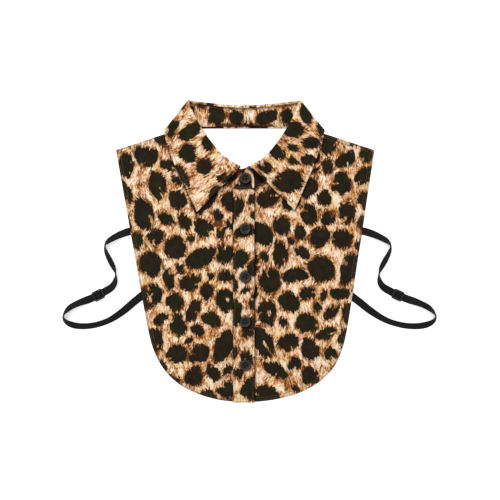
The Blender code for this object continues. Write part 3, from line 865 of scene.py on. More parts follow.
def strap_rows(side):
    """Middle x, y and lean of an elastic's rows."""
    reach = STRAP_LEFT_REACH if side > 0 else 1.0
    rows = []
    for out, y, lean in STRAP_ROWS:
        out = STRAP_ROOT_OUT + (out - STRAP_ROOT_OUT) * (reach if out > STRAP_ROOT_OUT else 1.0)
        rows.append((STRAP_MID_X + side * out, y, math.radians(lean)))
    return np.array(rows)


class Panel:
    """One front panel: its grid on the table, its edge and its heights."""

    def __init__(self, side):
        self.side = side
        inner = side * BAND_SEAM_X + SEAM_GAP / 2
        neck_share = (NECK_POINT[0] - inner) / (edge_distance(NECK_POINT[1]) - inner)
        u, v = (steps(count) for count in PANEL_STEPS)
        half = np.where(u <= 0.5, 2.0 * u, 2.0 * u - 1.0)
        eased = 1.0 - (1.0 - half) ** PANEL_EASE
        share = np.where(u <= 0.5, neck_share * eased, lerp(neck_share, 1.0, eased))

        def distance(y):
            """Distance of each column from the middle at the height y."""
            return lerp(inner, edge_distance(y), share)

        low, high = np.full(len(u), HEM_Y), np.full(len(u), NECK_POINT[1])
        for _ in range(12):
            low = hem_y(distance(low) / side_distance(low))
            high = top_y(distance(high))
        y = lerp(low[None], high[None], v[:, None])
        x = side * distance(y) + HEM_SKEW * share * (SHOULDER_TIP_Y - y)
        self.grid = np.stack((x, y), axis=-1)
        neck = int(np.argmin(np.abs(u - 0.5)))
        self.outline = np.vstack((self.grid[-1, neck:], self.grid[-2::-1, -1], self.grid[0, -2::-1]))
        self.roots = strap_rows(side)[[0, -1], :2]

    def heights(self, places):
        """Top and underside of the cloth at places (n, 2)."""
        x, y = places.T
        edge = distance_to_path(places, self.outline)
        near = np.min([np.hypot(x - rx, y - ry) for rx, ry in self.roots], axis=0)
        rest = LAYER * smoothstep((LIFT_FADE - near) / (LIFT_FADE - LIFT_FLAT)) + lay(x, y)
        turned = smoothstep((HEM_BAND + 0.5 - edge) / 1.2)
        covered = smoothstep((18.5 - np.abs(x - sum(PLACKET_X) / 2)) / 2.0)
        bare = 1.0 - covered
        pucker = (soft_noise(x, y, 5.5, 11) - 0.5) * smoothstep((HEM_BAND + 3.0 - edge) / 5.0)
        seams = sum(np.exp(-((edge - line) / 0.55) ** 2) for line in HEM_LINES)
        top = rest + CLOTH - INSET * (1.0 - np.maximum(turned, covered)) - PANEL_DENT * seams * bare
        top += PANEL_PUCKER * (pucker - 0.5) * turned * bare
        top -= 0.45 * (1.0 - np.sqrt(1.0 - np.clip(1.0 - edge / 1.3, 0.0, 1.0) ** 2)) * bare
        for line, deep in zip(PLACKET_X, FURROWS):
            top -= deep * np.exp(-((x - line) / 0.9) ** 4)
        return top, rest + REVERSE_INSET * (1.0 - turned)

    def path_inside(self, away):
        """The outline moved inwards, as far as the placket leaves it bare."""
        run = run_length(self.outline)
        at = np.linspace(0, run[-1], int(run[-1] / OUTLINE_PITCH))
        line = np.column_stack([np.interp(at, run, values) for values in self.outline.T])
        ahead = unit(np.gradient(line, axis=0))
        moved = line + np.column_stack((-ahead[:, 1], ahead[:, 0])) * -self.side * away
        moved = moved[distance_to_path(moved, self.outline) > away - 0.06]
        return moved[np.abs(moved[:, 0] - sum(PLACKET_X) / 2) > PLACKET_HIDES]


def make_panel(node, side):
    """A front panel in place of a node, and its hem stitching."""
    panel = Panel(side)
    places, seed = panel.grid.reshape(-1, 2), PANEL_SEEDS[side]
    top, bottom = (h.reshape(panel.grid.shape[:2]) for h in panel.heights(places))
    # painted shade: contact shadows beside the leaf, the stand and the placket's edges, and a dark line
    # along the panel's own edge
    shade = painted_shade(places, (leaf_outline(), 1.6, 0.85), (stand_outline(), 1.2, 0.7),
                       (panel.outline, 0.9, 0.5),
                       *((np.array(((x, PLACKET_Y[0]), (x, PLACKET_Y[1]))), width, strength)
                         for x, width, strength in zip(PLACKET_X, (1.2, 1.9), (0.6, 0.9))))
    made = printed_shell(f"{node}_cloth", node, np.dstack((panel.grid, top)),
                         np.dstack((panel.grid, bottom)), panel.grid, seed, shade, single=True)
    rows = []
    for line in HEM_LINES:
        path, ahead = stitch_places(panel.path_inside(line))
        points, up = on_surface(panel.heights, path)
        rows.append((points + up * SEAM_LIFT, ahead_3d(ahead, up), up))
    return made, sew(f"{node}_cloth_stitching", rows, thread("seam"), seed)


# ---- placket ----------------------------------------------------------------

def placket_heights(places):
    """Top and underside of the placket at places (..., 2)."""
    x, y = places[..., 0], places[..., 1]
    free = smoothstep((5.0 - (PLACKET_X[1] - x)) / 5.0) * smoothstep((PLACKET_Y[1] - 4.0 - y) / 12.0)
    base = LAYER + lay(x, y) + PLACKET_LIFT * free * (0.5 + 0.7 * soft_noise(0.0 * x, y, 16.0, 41))
    edge = np.minimum(x - PLACKET_X[0], PLACKET_X[1] - x)
    hem = y - PLACKET_Y[0]
    folded = np.maximum(smoothstep((2.6 - edge) / 1.0), smoothstep((HEM_BAND - hem) / 1.4))
    seams = np.exp(-((edge - PLACKET_LINE) / 0.5) ** 2)
    for line in HEM_LINES:
        seams = np.maximum(seams, np.exp(-((hem - line) / 0.5) ** 2))
    pucker = (soft_noise(x * 0.6, y, 4.5, 31) - 0.5) * smoothstep((4.0 - edge) / 3.0)
    top = base + CLOTH - 0.2 * (1.0 - folded) - PLACKET_DENT * seams + PLACKET_PUCKER * (pucker - 0.5)
    return top, base


# ---- collar -----------------------------------------------------------------

def collar_rails():
    """The sections of COLLAR_SECTIONS from the right end round to the left one."""
    halves = []
    for side in (-1, 1):
        for roll, neck, free, radius, tuck, shift in COLLAR_SECTIONS:
            roll, neck, free = (np.array((COLLAR_MID_X + side * d, y, z))
                                for d, y, z in (roll, neck, free))
            if side > 0:
                moved = shift * np.array((*LEAF_SHIFT, 0.0))
                roll = roll + (0.0, 0.0, -tuck) + moved
                neck = neck + (0.0, tuck, -tuck)
                free = free + moved
            halves.append((*roll, *neck, *free, radius))
    return np.array(halves[:len(COLLAR_SECTIONS)] + halves[-2:len(COLLAR_SECTIONS) - 1:-1])


class Ring:
    """Cross-sections of the collar at places along the ring."""

    def __init__(self, at):
        rails = collar_rails()
        last = len(rails) - 1
        rows = blend(rails, at)
        self.roll, self.neck, self.free = rows[:, 0:3], rows[:, 3:6], rows[:, 6:9]
        self.radius = rows[:, 9:10]
        ahead = blend(rails, np.minimum(last, at + 0.3)) - blend(rails, np.maximum(0, at - 0.3))
        self.up = unit(self.roll - self.neck)
        self.out = unit(np.cross(self.up, ahead[:, 0:3] + ahead[:, 3:6]))
        self.centre = self.roll - self.up * self.radius

    def stand_top(self, below=SEAM_BELOW_ROLL):
        """Top of the stand, under the roll line and inside the leaf."""
        return self.centre - self.out * self.radius - self.up * (below - self.radius)

    def leaf_point(self, v):
        """Place at the share v of the leaf's depth: up from its seam, round the roll and down."""
        if v < ROLL_FROM:
            gap = SEAM_GAP + 0.6 * np.maximum(0.0, self.radius - LAYER / 2)
            return self.stand_top(lerp(SEAM_BELOW_ROLL - gap, self.radius, v / ROLL_FROM))
        if v < ROLL_TO:
            turn = math.pi * (v - ROLL_FROM) / (ROLL_TO - ROLL_FROM)
            return (self.centre - self.out * self.radius * math.cos(turn)
                    + self.up * self.radius * math.sin(turn))
        t = (v - ROLL_TO) / (1.0 - ROLL_TO)
        start = self.centre + self.out * self.radius
        point = lerp(start, self.free, t)
        point[:, 2] = lerp(self.free[:, 2], start[:, 2], (1.0 - t) ** LEAF_DROP_POWER)
        return point


def ring_places():
    """Places along the ring, closer together where it turns at the shoulders."""
    fine = np.linspace(0, len(collar_rails()) - 1, 2400)
    ring = Ring(fine)
    run = run_length((ring.roll + ring.free) / 2) + fine * 3.0
    places = np.interp(np.linspace(0, run[-1], int(run[-1] / RING_PITCH)), run, fine)
    return np.sort(np.append(places, (places[1] * 0.35,
                                      places[-1] - (places[-1] - places[-2]) * 0.35)))


@lru_cache
def leaf_grid():
    """Middle surface of the leaf and the place of each point on its flat cut."""
    places = ring_places()
    ring = Ring(places)
    seam, roll, fall = LEAF_STEPS
    across = np.concatenate((np.linspace(0.0, ROLL_FROM, seam)[:-1],
                             np.linspace(ROLL_FROM, ROLL_TO, roll)[:-1],
                             ROLL_TO + (1.0 - ROLL_TO) * steps(fall)))
    middle = np.stack([ring.leaf_point(v) for v in across])
    middle[..., 2] += lay(middle[..., 0], middle[..., 1])
    depth = np.linalg.norm(np.diff(middle, axis=0), axis=2).cumsum(axis=0)
    depth = np.vstack((np.zeros(len(places)), depth))
    span = middle[len(across) * 2 // 3]
    flat = np.dstack((np.broadcast_to(run_length(span), depth.shape), -depth))
    return middle, flat, across


@lru_cache
def stand_grid():
    """Middle surface of the stand, from its right end round to its left end."""
    count = (len(collar_rails()) - 1) * SECTION_STEPS
    ring = Ring(np.linspace(0, len(collar_rails()) - 1, count + 1))
    ring = np.stack((ring.neck, ring.stand_top()), axis=1)

    def end_stations(end, joined):
        rows = np.array([*end, *joined]).reshape(-1, 6)
        at = np.arange(len(end) * SECTION_STEPS) / SECTION_STEPS
        return blend(rows, at).reshape(-1, 2, 3)

    right = end_stations(RIGHT_STAND_END, (ring[0], ring[SECTION_STEPS]))
    left = end_stations(LEFT_STAND_END[::-1], (ring[-1], ring[-1 - SECTION_STEPS]))
    stations = np.concatenate((right, ring, left[::-1]))
    across = steps(STAND_STEPS)
    middle = np.stack([lerp(stations[:, 0], stations[:, 1], v) for v in across])
    middle[..., 2] += lay(middle[..., 0], middle[..., 1])
    height = np.linalg.norm(middle[-1] - middle[0], axis=1)
    span = run_length(middle[len(across) // 2])
    flat = np.dstack((np.broadcast_to(span, (len(across), len(span))),
                      across[:, None] * height[None]))
    return middle, flat


def around_button(y):
    """Ring of cloth that a button shades."""
    turn = np.linspace(0.0, 2 * math.pi, 33)
    return np.column_stack((0.4 + BUTTON_SHADE * np.cos(turn), y - 0.5 + BUTTON_SHADE * np.sin(turn)))


def leaf_outline():
    """The leaf's front edges and free edge, seen from above."""
    middle, _, across = leaf_grid()
    down = middle[across >= ROLL_TO, :, :2]
    return np.vstack((down[:, 0], down[-1], down[::-1, -1]))


def stand_outline():
    """The stand's neck edge and the end that carries the button, seen from above."""
    middle = stand_grid()[0][..., :2]
    return np.vstack((middle[::-1, 0], middle[0]))


def leaf_fronts():
    """The upper part of each of the leaf's front edges, seen from above."""
    outline = leaf_outline()
    x, y = outline.T
    return [outline[(x * side > 0.0) & (np.abs(x) < 34.0) & (y > 84.0)] for side in (-1, 1)]


def edge_of_grid(middle, sides):
    """Distance of each grid point from the grid's chosen sides, along the surface."""
    rows = np.linalg.norm(np.diff(middle, axis=0), axis=2)
    columns = np.linalg.norm(np.diff(middle, axis=1), axis=2)
    from_top = np.vstack((np.zeros(middle.shape[1]), rows.cumsum(0)))
    from_left = np.column_stack((np.zeros(middle.shape[0]), columns.cumsum(1)))
    found = np.full(middle.shape[:2], 1e3)
    for name, value in (("first_row", from_top), ("last_row", from_top[-1:] - from_top),
                        ("first_column", from_left), ("last_column", from_left[:, -1:] - from_left)):
        if name in sides:
            found = np.minimum(found, value)
    return found


def surface_point(middle, normals, a, b, t, lift, sunk=0.0):
    """Place between grid points a and b at lift above the surface, with the way up.

    It lies lower by sunk where the surface looks down.
    """
    up = unit(lerp(normals[a], normals[b], t))
    return np.append(lerp(middle[a], middle[b], t) + (lift - sunk * (up[2] < 0.0)) * up, up)


def contour(middle, normals, edge, level, lift):
    """Places of the grid lines where edge crosses level, as an ordered path."""
    found = []
    for j, line in enumerate(edge.T):
        for i in np.where((line[:-1] - level) * (line[1:] - level) < 0)[0]:
            t = (level - line[i]) / (line[i + 1] - line[i])
            found.append(surface_point(middle, normals, (i, j), (i + 1, j), t, lift))
    return np.array(found)


# ---- straps -----------------------------------------------------------------

def strap_grid(side):
    """Middle surface of an elastic: rows run along it, columns across."""
    rows = strap_rows(side)
    last = len(rows) - 1
    fine = np.linspace(0, last, 3000)
    run = run_length(blend(rows, fine)[:, :2])
    at = np.interp(np.linspace(0, run[-1], int(run[-1] / STRAP_PITCH)), run, fine)
    middle = rows[STRAP_SLIDER_ROW, :2]
    pitch = np.linalg.norm(rows[STRAP_SLIDER_ROW + 1, :2] - rows[STRAP_SLIDER_ROW - 1, :2]) / 2
    at = at[np.abs(at - STRAP_SLIDER_ROW) * pitch > WEAVE_ROWS[0] + 0.5]
    near = np.array((0.0, *WEAVE_ROWS, *(-row for row in WEAVE_ROWS))) / pitch
    at = np.sort(np.append(at, STRAP_SLIDER_ROW + near))
    point = blend(rows, at)
    ahead = blend(rows, np.minimum(at + 0.05, last)) - blend(rows, np.maximum(at - 0.05, 0))
    ahead = unit(ahead[:, :2])
    away = np.linalg.norm(point[:, :2] - middle, axis=1)
    away[np.abs(at - STRAP_SLIDER_ROW) >= 2] = 1e3
    weave = np.clip((WEAVE_OUTER - away) / (WEAVE_OUTER - WEAVE_INNER), 0.0, 1.0)
    weave *= SLIDER_THICK + STRAP_THICK + 2 * SEAM_GAP
    lean = np.maximum(0.0, point[:, 2])
    across = np.column_stack((-ahead[:, 1], ahead[:, 0], np.zeros(len(at))))
    across *= -side * np.cos(lean)[:, None]
    across[:, 2] = np.sin(lean)
    height = STRAP_WIDTH / 2 * np.sin(lean) + STRAP_THICK / 2 * np.cos(lean) + weave
    centre = np.column_stack((point[:, :2], height))
    u = np.linspace(-0.5, 0.5, STRAP_COLUMNS) * STRAP_WIDTH
    grid = centre[:, None] + across[:, None] * u[None, :, None]
    flat = np.dstack((np.broadcast_to(u, grid.shape[:2]),
                      np.broadcast_to(run_length(centre)[:, None], grid.shape[:2])))
    return grid, flat


# ---- settings ---------------------------------------------------------------

def colour_property(name, description, default):
    return FloatVectorProperty(name=name, description=description, default=default,
                               subtype="COLOR", min=0.0, max=1.0)


def number_property(name, description, default, high=1.0, **more):
    return FloatProperty(name=name, description=description, default=default, min=0.0, max=high, **more)


def length_property(name, description, default, high=1.0):
    return number_property(name, description, default, high, precision=5, unit="LENGTH")


class ClothSettings(bpy.types.PropertyGroup):
    """Print, folds and stitching of the cotton pieces."""

    dark_ground: colour_property("Dark ground", "Brown streaks beside the spots", (0.66, 0.40, 0.20))
    mid_ground: colour_property("Middle ground", "Tan of the print", (0.85, 0.61, 0.37))
    light_ground: colour_property("Light ground", "Cream between the spots", (0.95, 0.84, 0.70))
    spot: colour_property("Spot", "Near-black of the spots", (0.145, 0.115, 0.075))
    thread: colour_property("Thread", "Thread of all topstitching", (0.34, 0.26, 0.19))
    fold_height: number_property("Fold height", "Scale of the low folds", 1.0, 2.0, subtype="FACTOR")
    weave_pitch: length_property("Weave pitch", "Distance between two threads", 0.00062)
    stitch_length: length_property("Stitch length", "Length of one topstitch", 0.0024)
    stitch_pitch: length_property("Stitch pitch", "Distance from stitch to stitch", 0.0031)
    thread_width: length_property("Thread width", "Thickness of the seam thread", 0.00050)


class ElasticSettings(bpy.types.PropertyGroup):
    """Arm elastics."""

    colour: colour_property("Elastic", "Black of the woven elastic", (0.090, 0.090, 0.088))
    rib_count: IntProperty(name="Ribs", description="Ribs across one elastic", default=9,
                           min=1, max=16)
    rib_depth: length_property("Rib depth", "Depth of the furrow between ribs", 0.00013)


class PlasticSettings(bpy.types.PropertyGroup):
    """Buttons and adjusters."""

    colour: colour_property("Plastic", "Black of the buttons", (0.104, 0.092, 0.074))
    # painted highlight: the grey of the button rims' crests
    painted_light: colour_property("Rim highlight", "Grey of the rims, painted as their highlight",
                            (0.25, 0.23, 0.195))
    adjuster: colour_property("Adjuster", "Black of the adjusters", (0.12, 0.12, 0.12))
    # painted highlight: the grey of the adjusters' top edges
    adjuster_highlight: colour_property("Adjuster highlight", "Grey of the adjusters' edges",
                                     (0.27, 0.27, 0.27))
    roughness: number_property("Roughness", "Polish of the plastic", 0.30, subtype="FACTOR")


class StageSettings(bpy.types.PropertyGroup):
    """Table, light and camera."""

    floor: colour_property("Table", "Colour of the table", (0.97, 0.97, 0.97))
    frame_width: length_property("Frame width", "Width that the camera sees", 0.650, 5.0)
    centre: FloatVectorProperty(name="Frame centre", description="Middle of the view",
                                default=(0.00624, 0.0016), size=2, unit="LENGTH")
    sky: number_property("Sky", "Strength of the even light", 0.62, 5.0)
    floor_glow: number_property("Table glow", "Strength of the lit table", 0.45, 5.0)
    key: number_property("Key light", "Power of the large soft light", 24.0, 500.0)
    fill: number_property("Fill light", "Power of the second light", 4.0, 500.0)


# ---- operators --------------------------------------------------------------

class COLLAR_OT_fronts(bpy.types.Operator):
    """Makes the two front panels with their hem stitching"""

    bl_idname = "collar.make_fronts"
    bl_label = "Front panels"

    def execute(self, context):
        for name, side, area in (("left_front", 1, 0.0482), ("right_front", -1, 0.0408)):
            made, seams = make_panel(name, side)
        return {"FINISHED"}


class COLLAR_OT_placket(bpy.types.Operator):
    """Makes the button placket, its edge stitching and the buttonholes"""

    bl_idname = "collar.make_placket"
    bl_label = "Placket"

    def execute(self, context):
        x, y = (lerp(*ends, steps(count))
                for ends, count in zip((PLACKET_X, PLACKET_Y), PLACKET_STEPS))
        grid = np.stack(np.broadcast_arrays(x[None], y[:, None]), axis=-1)
        top, bottom = placket_heights(grid)
        # painted shade beside the leaf, the stand and its own edges, and a painted shadow ring round
        # each button
        shade = painted_shade(grid.reshape(-1, 2),
                           (leaf_outline(), 1.4, 0.8), (stand_outline(), 1.3, 0.8),
                           *((np.array(((x, y[0]), (x, y[-1]))), 0.6, 0.5) for x in PLACKET_X),
                           *((around_button(centre), 1.3, 0.95) for centre in BUTTON_Y))
        made = printed_shell("placket_cloth", "right_placket", np.dstack((grid, top)),
                             np.dstack((grid, bottom)), grid, PLACKET_SEED, shade)
        pitch = context.scene.collar_cloth.stitch_pitch / MM
        low, high = PLACKET_X
        up_edges = np.arange(PLACKET_Y[0] + 6.5, PLACKET_Y[1] - 4.0, pitch)
        across = np.arange(low + 3.4, high - 3.0, pitch)
        seams = sew("placket_cloth_stitching", [
            *(self.row(line, up_edges, SEAM_LIFT)
              for line in (low + PLACKET_LINE, high - PLACKET_LINE)),
            *(self.row(across, PLACKET_Y[0] + line, SEAM_LIFT) for line in HEM_LINES),
        ], thread("seam"), 83)

        rows = []
        for centre in BUTTON_Y:
            rows += [self.row(x, centre + np.arange(-5.6, 8.0, 0.42), 0.05, across=True)
                     for x in (-0.75, 0.75)]
            rows += [self.row(np.arange(-1.2, 1.3, 0.4), centre + end, 0.08, across=True)
                     for end in (-6.0, 8.4)]
        holes = sew("buttonholes", rows, thread("buttonhole"), 5, length=1.35, width=0.42, arch=0.12)
        return {"FINISHED"}

    @staticmethod
    def row(x, y, lift, across=False):
        """Stitches in a row, of which x or y is one number; they run along it or across it."""
        upright = np.ndim(x) == 0
        path = np.column_stack(np.broadcast_arrays(x, y)).astype(float)
        points, up = on_surface(placket_heights, path)
        ahead = np.tile((0.0, 1.0) if upright != across else (1.0, 0.0), (len(path), 1))
        if across:
            return points + up * lift, np.column_stack((ahead, np.zeros(len(path)))), up
        return points + up * lift, ahead_3d(ahead, up), up


class COLLAR_OT_stand(bpy.types.Operator):
    """Makes the collar stand with a row of stitching along its edges"""

    bl_idname = "collar.make_stand"
    bl_label = "Collar stand"

    def execute(self, context):
        middle, flat = stand_grid()
        normals = grid_normals(middle)
        edge = edge_of_grid(middle, ("first_row", "last_row", "first_column", "last_column"))
        seam = np.exp(-((edge - STAND_LINE) / 0.6) ** 2)
        half = (CLOTH / 2 - 0.06 * smoothstep((edge - 2.4) / 1.2) - 0.12 * seam)[..., None]
        # painted shade under the leaf's roll along the top edge, beside the leaf's edge and round the
        # button
        below_roll = edge_of_grid(middle, ("last_row",)).ravel()
        shade = np.maximum(0.8 * np.exp(-(below_roll / 2.6) ** 2),
                           painted_shade(middle.reshape(-1, 3), (leaf_outline(), 1.4, 0.8),
                                      (around_button(COLLAR_BUTTON_Y), 1.3, 0.95)))
        # the leaf arches over the stand beside its button and keeps the light out
        for front, reach in zip(leaf_fronts(), ARCH_REACH):
            away = distance_to_path(middle.reshape(-1, 3), front)
            shade = np.maximum(shade, 0.97 - 0.97 * smoothstep((away - reach) / ARCH_FADE))
        made = printed_shell("collar_stand_cloth", "collar_stand", middle + normals * half,
                             middle - normals * half, flat, STAND_SEED, shade)
        rows = []
        for face in (1.0, -1.0):
            for side in ("first_row", "last_row"):
                path = contour(middle, normals * face, edge_of_grid(middle, (side,)),
                               STAND_LINE, CLOTH / 2 - 0.1)
                rows.append([part[1:-1] for part in seam_row(path)])
        seams = sew("collar_stand_stitching", rows, thread("seam"), STAND_SEED)
        return {"FINISHED"}


class COLLAR_OT_leaf(bpy.types.Operator):
    """Makes the turned-down collar leaf and its edge stitching"""

    bl_idname = "collar.make_leaf"
    bl_label = "Collar leaf"

    def execute(self, context):
        middle, flat, across = leaf_grid()
        # the normals point to the face that shows on the turned-down part
        normals = grid_normals(middle)
        normals *= np.sign(normals[-4, middle.shape[1] // 5, 2])
        edge = edge_of_grid(middle, ("last_row", "first_column", "last_column"))
        ridge = (0.10 * np.exp(-((edge - 1.6) / 1.2) ** 2)
                 * (0.6 + 0.8 * soft_noise(flat[..., 0], flat[..., 1], 6.0, 3)))
        ridge *= normals[..., 2] > 0.0
        seam = 0.16 * np.exp(-((edge - LEAF_LINE) / 0.6) ** 2)
        body = 0.08 * smoothstep((edge - 4.0) / 2.0)
        face = (CLOTH / 2 - body - seam + ridge)[..., None]
        back = (CLOTH / 2 - body)[..., None]
        # painted shade along the leaf's own edges
        shade = 0.45 * np.exp(-(edge.ravel() / 0.6) ** 2)
        made = printed_shell("collar_leaf_cloth", "collar_leaf", middle + normals * face,
                             middle - normals * back, flat, LEAF_SEED, shade)
        down = across >= ROLL_TO
        path = self.seam_path(middle[down], normals[down], edge[down], LEAF_LINE)
        seams = sew("collar_leaf_stitching", [seam_row(path)], thread("seam"), LEAF_SEED)
        return {"FINISHED"}

    @staticmethod
    def seam_path(middle, normals, edge, level):
        """Path at one distance from the free edge, turning up at both front edges."""
        columns = edge.shape[1]
        lower = edge_of_grid(middle, ("last_row",))
        lift, sunk = CLOTH / 2 - 0.14, 0.34
        found = []
        for side, order in (("first_column", 1), ("last_column", -1)):
            line = []
            for i, row in enumerate(edge_of_grid(middle, (side,))[:, ::order]):
                j = int(np.argmax(row > level))
                t = (level - row[j - 1]) / max(row[j] - row[j - 1], 1e-9)
                a, b = ((i, k if order > 0 else columns - 1 - k) for k in (j - 1, j))
                if lerp(lower[a], lower[b], t) > level - 0.01:
                    line.append(surface_point(middle, normals, a, b, t, lift, sunk))
            found.append(np.array(line))
        bottom = []
        for j, low in enumerate(lower.T):
            i = np.where((low[:-1] - level) * (low[1:] - level) <= 0)[0][-1]
            t = (level - low[i]) / (low[i + 1] - low[i])
            a, b = (i, j), (i + 1, j)
            if lerp(edge[a], edge[b], t) > level - 0.25:
                bottom.append(surface_point(middle, normals, a, b, t, lift, sunk))
        return np.vstack((found[0], np.array(bottom), found[1][::-1]))


class COLLAR_OT_straps(bpy.types.Operator):
    """Makes the two ribbed arm elastics"""

    bl_idname = "collar.make_straps"
    bl_label = "Arm elastics"

    def execute(self, context):
        elastic = context.scene.collar_elastic
        surface = shared("black elastic", black_elastic)
        for word, side in (("right", -1), ("left", 1)):
            grid, flat = strap_grid(side)
            normals = grid_normals(grid)
            u = flat[..., 0] / STRAP_WIDTH
            furrow = 0.5 - 0.5 * np.cos(2 * math.pi * u * elastic.rib_count)
            furrow = furrow * smoothstep((0.47 - np.abs(u)) / 0.03)
            half = (STRAP_THICK / 2 - elastic.rib_depth / MM * (1.0 - furrow))[..., None]
            made = closed_shell(f"arm_elastic_{word}", grid + normals * half, grid - normals * half,
                                flat, None, (surface,))
            finish_piece(made, "elastic", f"strap_{word}")
        return {"FINISHED"}


class COLLAR_OT_sliders(bpy.types.Operator):
    """Makes the two adjusters on the elastics"""

    bl_idname = "collar.make_sliders"
    bl_label = "Adjusters"

    def execute(self, context):
        plastic = context.scene.collar_plastic
        surface = shared("adjuster plastic", black_plastic, plastic.adjuster, plastic.adjuster_highlight)
        height = STRAP_THICK + SEAM_GAP + SLIDER_THICK / 2
        top = (STRAP_THICK + SEAM_GAP + SLIDER_THICK) * MM
        for word, side in (("right", -1), ("left", 1)):
            before, at, after = strap_rows(side)[STRAP_SLIDER_ROW - 1:STRAP_SLIDER_ROW + 2, :2]
            ahead = unit(after - before)
            holder = add_object(f"adjuster_{word}_outline", self.outline_curve())
            mesh = evaluated_mesh(holder)
            bpy.data.objects.remove(holder)
            mesh.transform(Matrix.Translation(Vector((*at, height)) * MM)
                           @ Matrix.Rotation(math.atan2(-ahead[0], ahead[1]), 4, "Z"))
            face_outwards(mesh, weld=1e-6)
            mesh.materials.clear()
            mesh.materials.append(surface)
            # painted highlight along the rounded edges of the top
            mark_painted_light(mesh, [SLIDER_HIGHLIGHT * (0.02 * MM < top - v.co.z < 0.9 * SLIDER_ROUND * MM)
                               for v in mesh.vertices])
            finish_piece(add_object(f"adjuster_{word}", mesh), "black_plastic", f"slider_{word}")
        return {"FINISHED"}

    def outline_curve(self):
        """The adjuster's outline and its two slots, thickened with rounded edges."""
        curve = bpy.data.curves.new("adjuster", "CURVE")
        curve.dimensions, curve.fill_mode = "2D", "BOTH"
        curve.extrude = (SLIDER_THICK / 2 - SLIDER_ROUND) * MM
        curve.bevel_depth, curve.bevel_resolution = SLIDER_ROUND * MM, 3
        curve.offset = -SLIDER_ROUND * MM
        for loop in (self.outline(SLIDER_ACROSS, SLIDER_ALONG, SLIDER_CORNER, 0.0, 8),
                     self.outline(SLOT_ACROSS, SLOT_ALONG, 0.5, -SLOT_CENTRE, 4),
                     self.outline(SLOT_ACROSS, SLOT_ALONG, 0.5, SLOT_CENTRE, 4)):
            spline = curve.splines.new("POLY")
            spline.points.add(len(loop) - 1)
            for point, (x, y) in zip(spline.points, loop):
                point.co = (x * MM, y * MM, 0.0, 1.0)
            spline.use_cyclic_u = True
        return curve

    @staticmethod
    def outline(width, length, corner, centre_y, count):
        points = []
        for quarter in range(4):
            sx, sy = (1 if quarter in (0, 3) else -1), (1 if quarter in (0, 1) else -1)
            for step in range(count + 1):
                angle = math.pi / 2 * (quarter + step / count)
                points.append((sx * (width / 2 - corner) + corner * math.cos(angle),
                               centre_y + sy * (length / 2 - corner) + corner * math.sin(angle)))
        return points


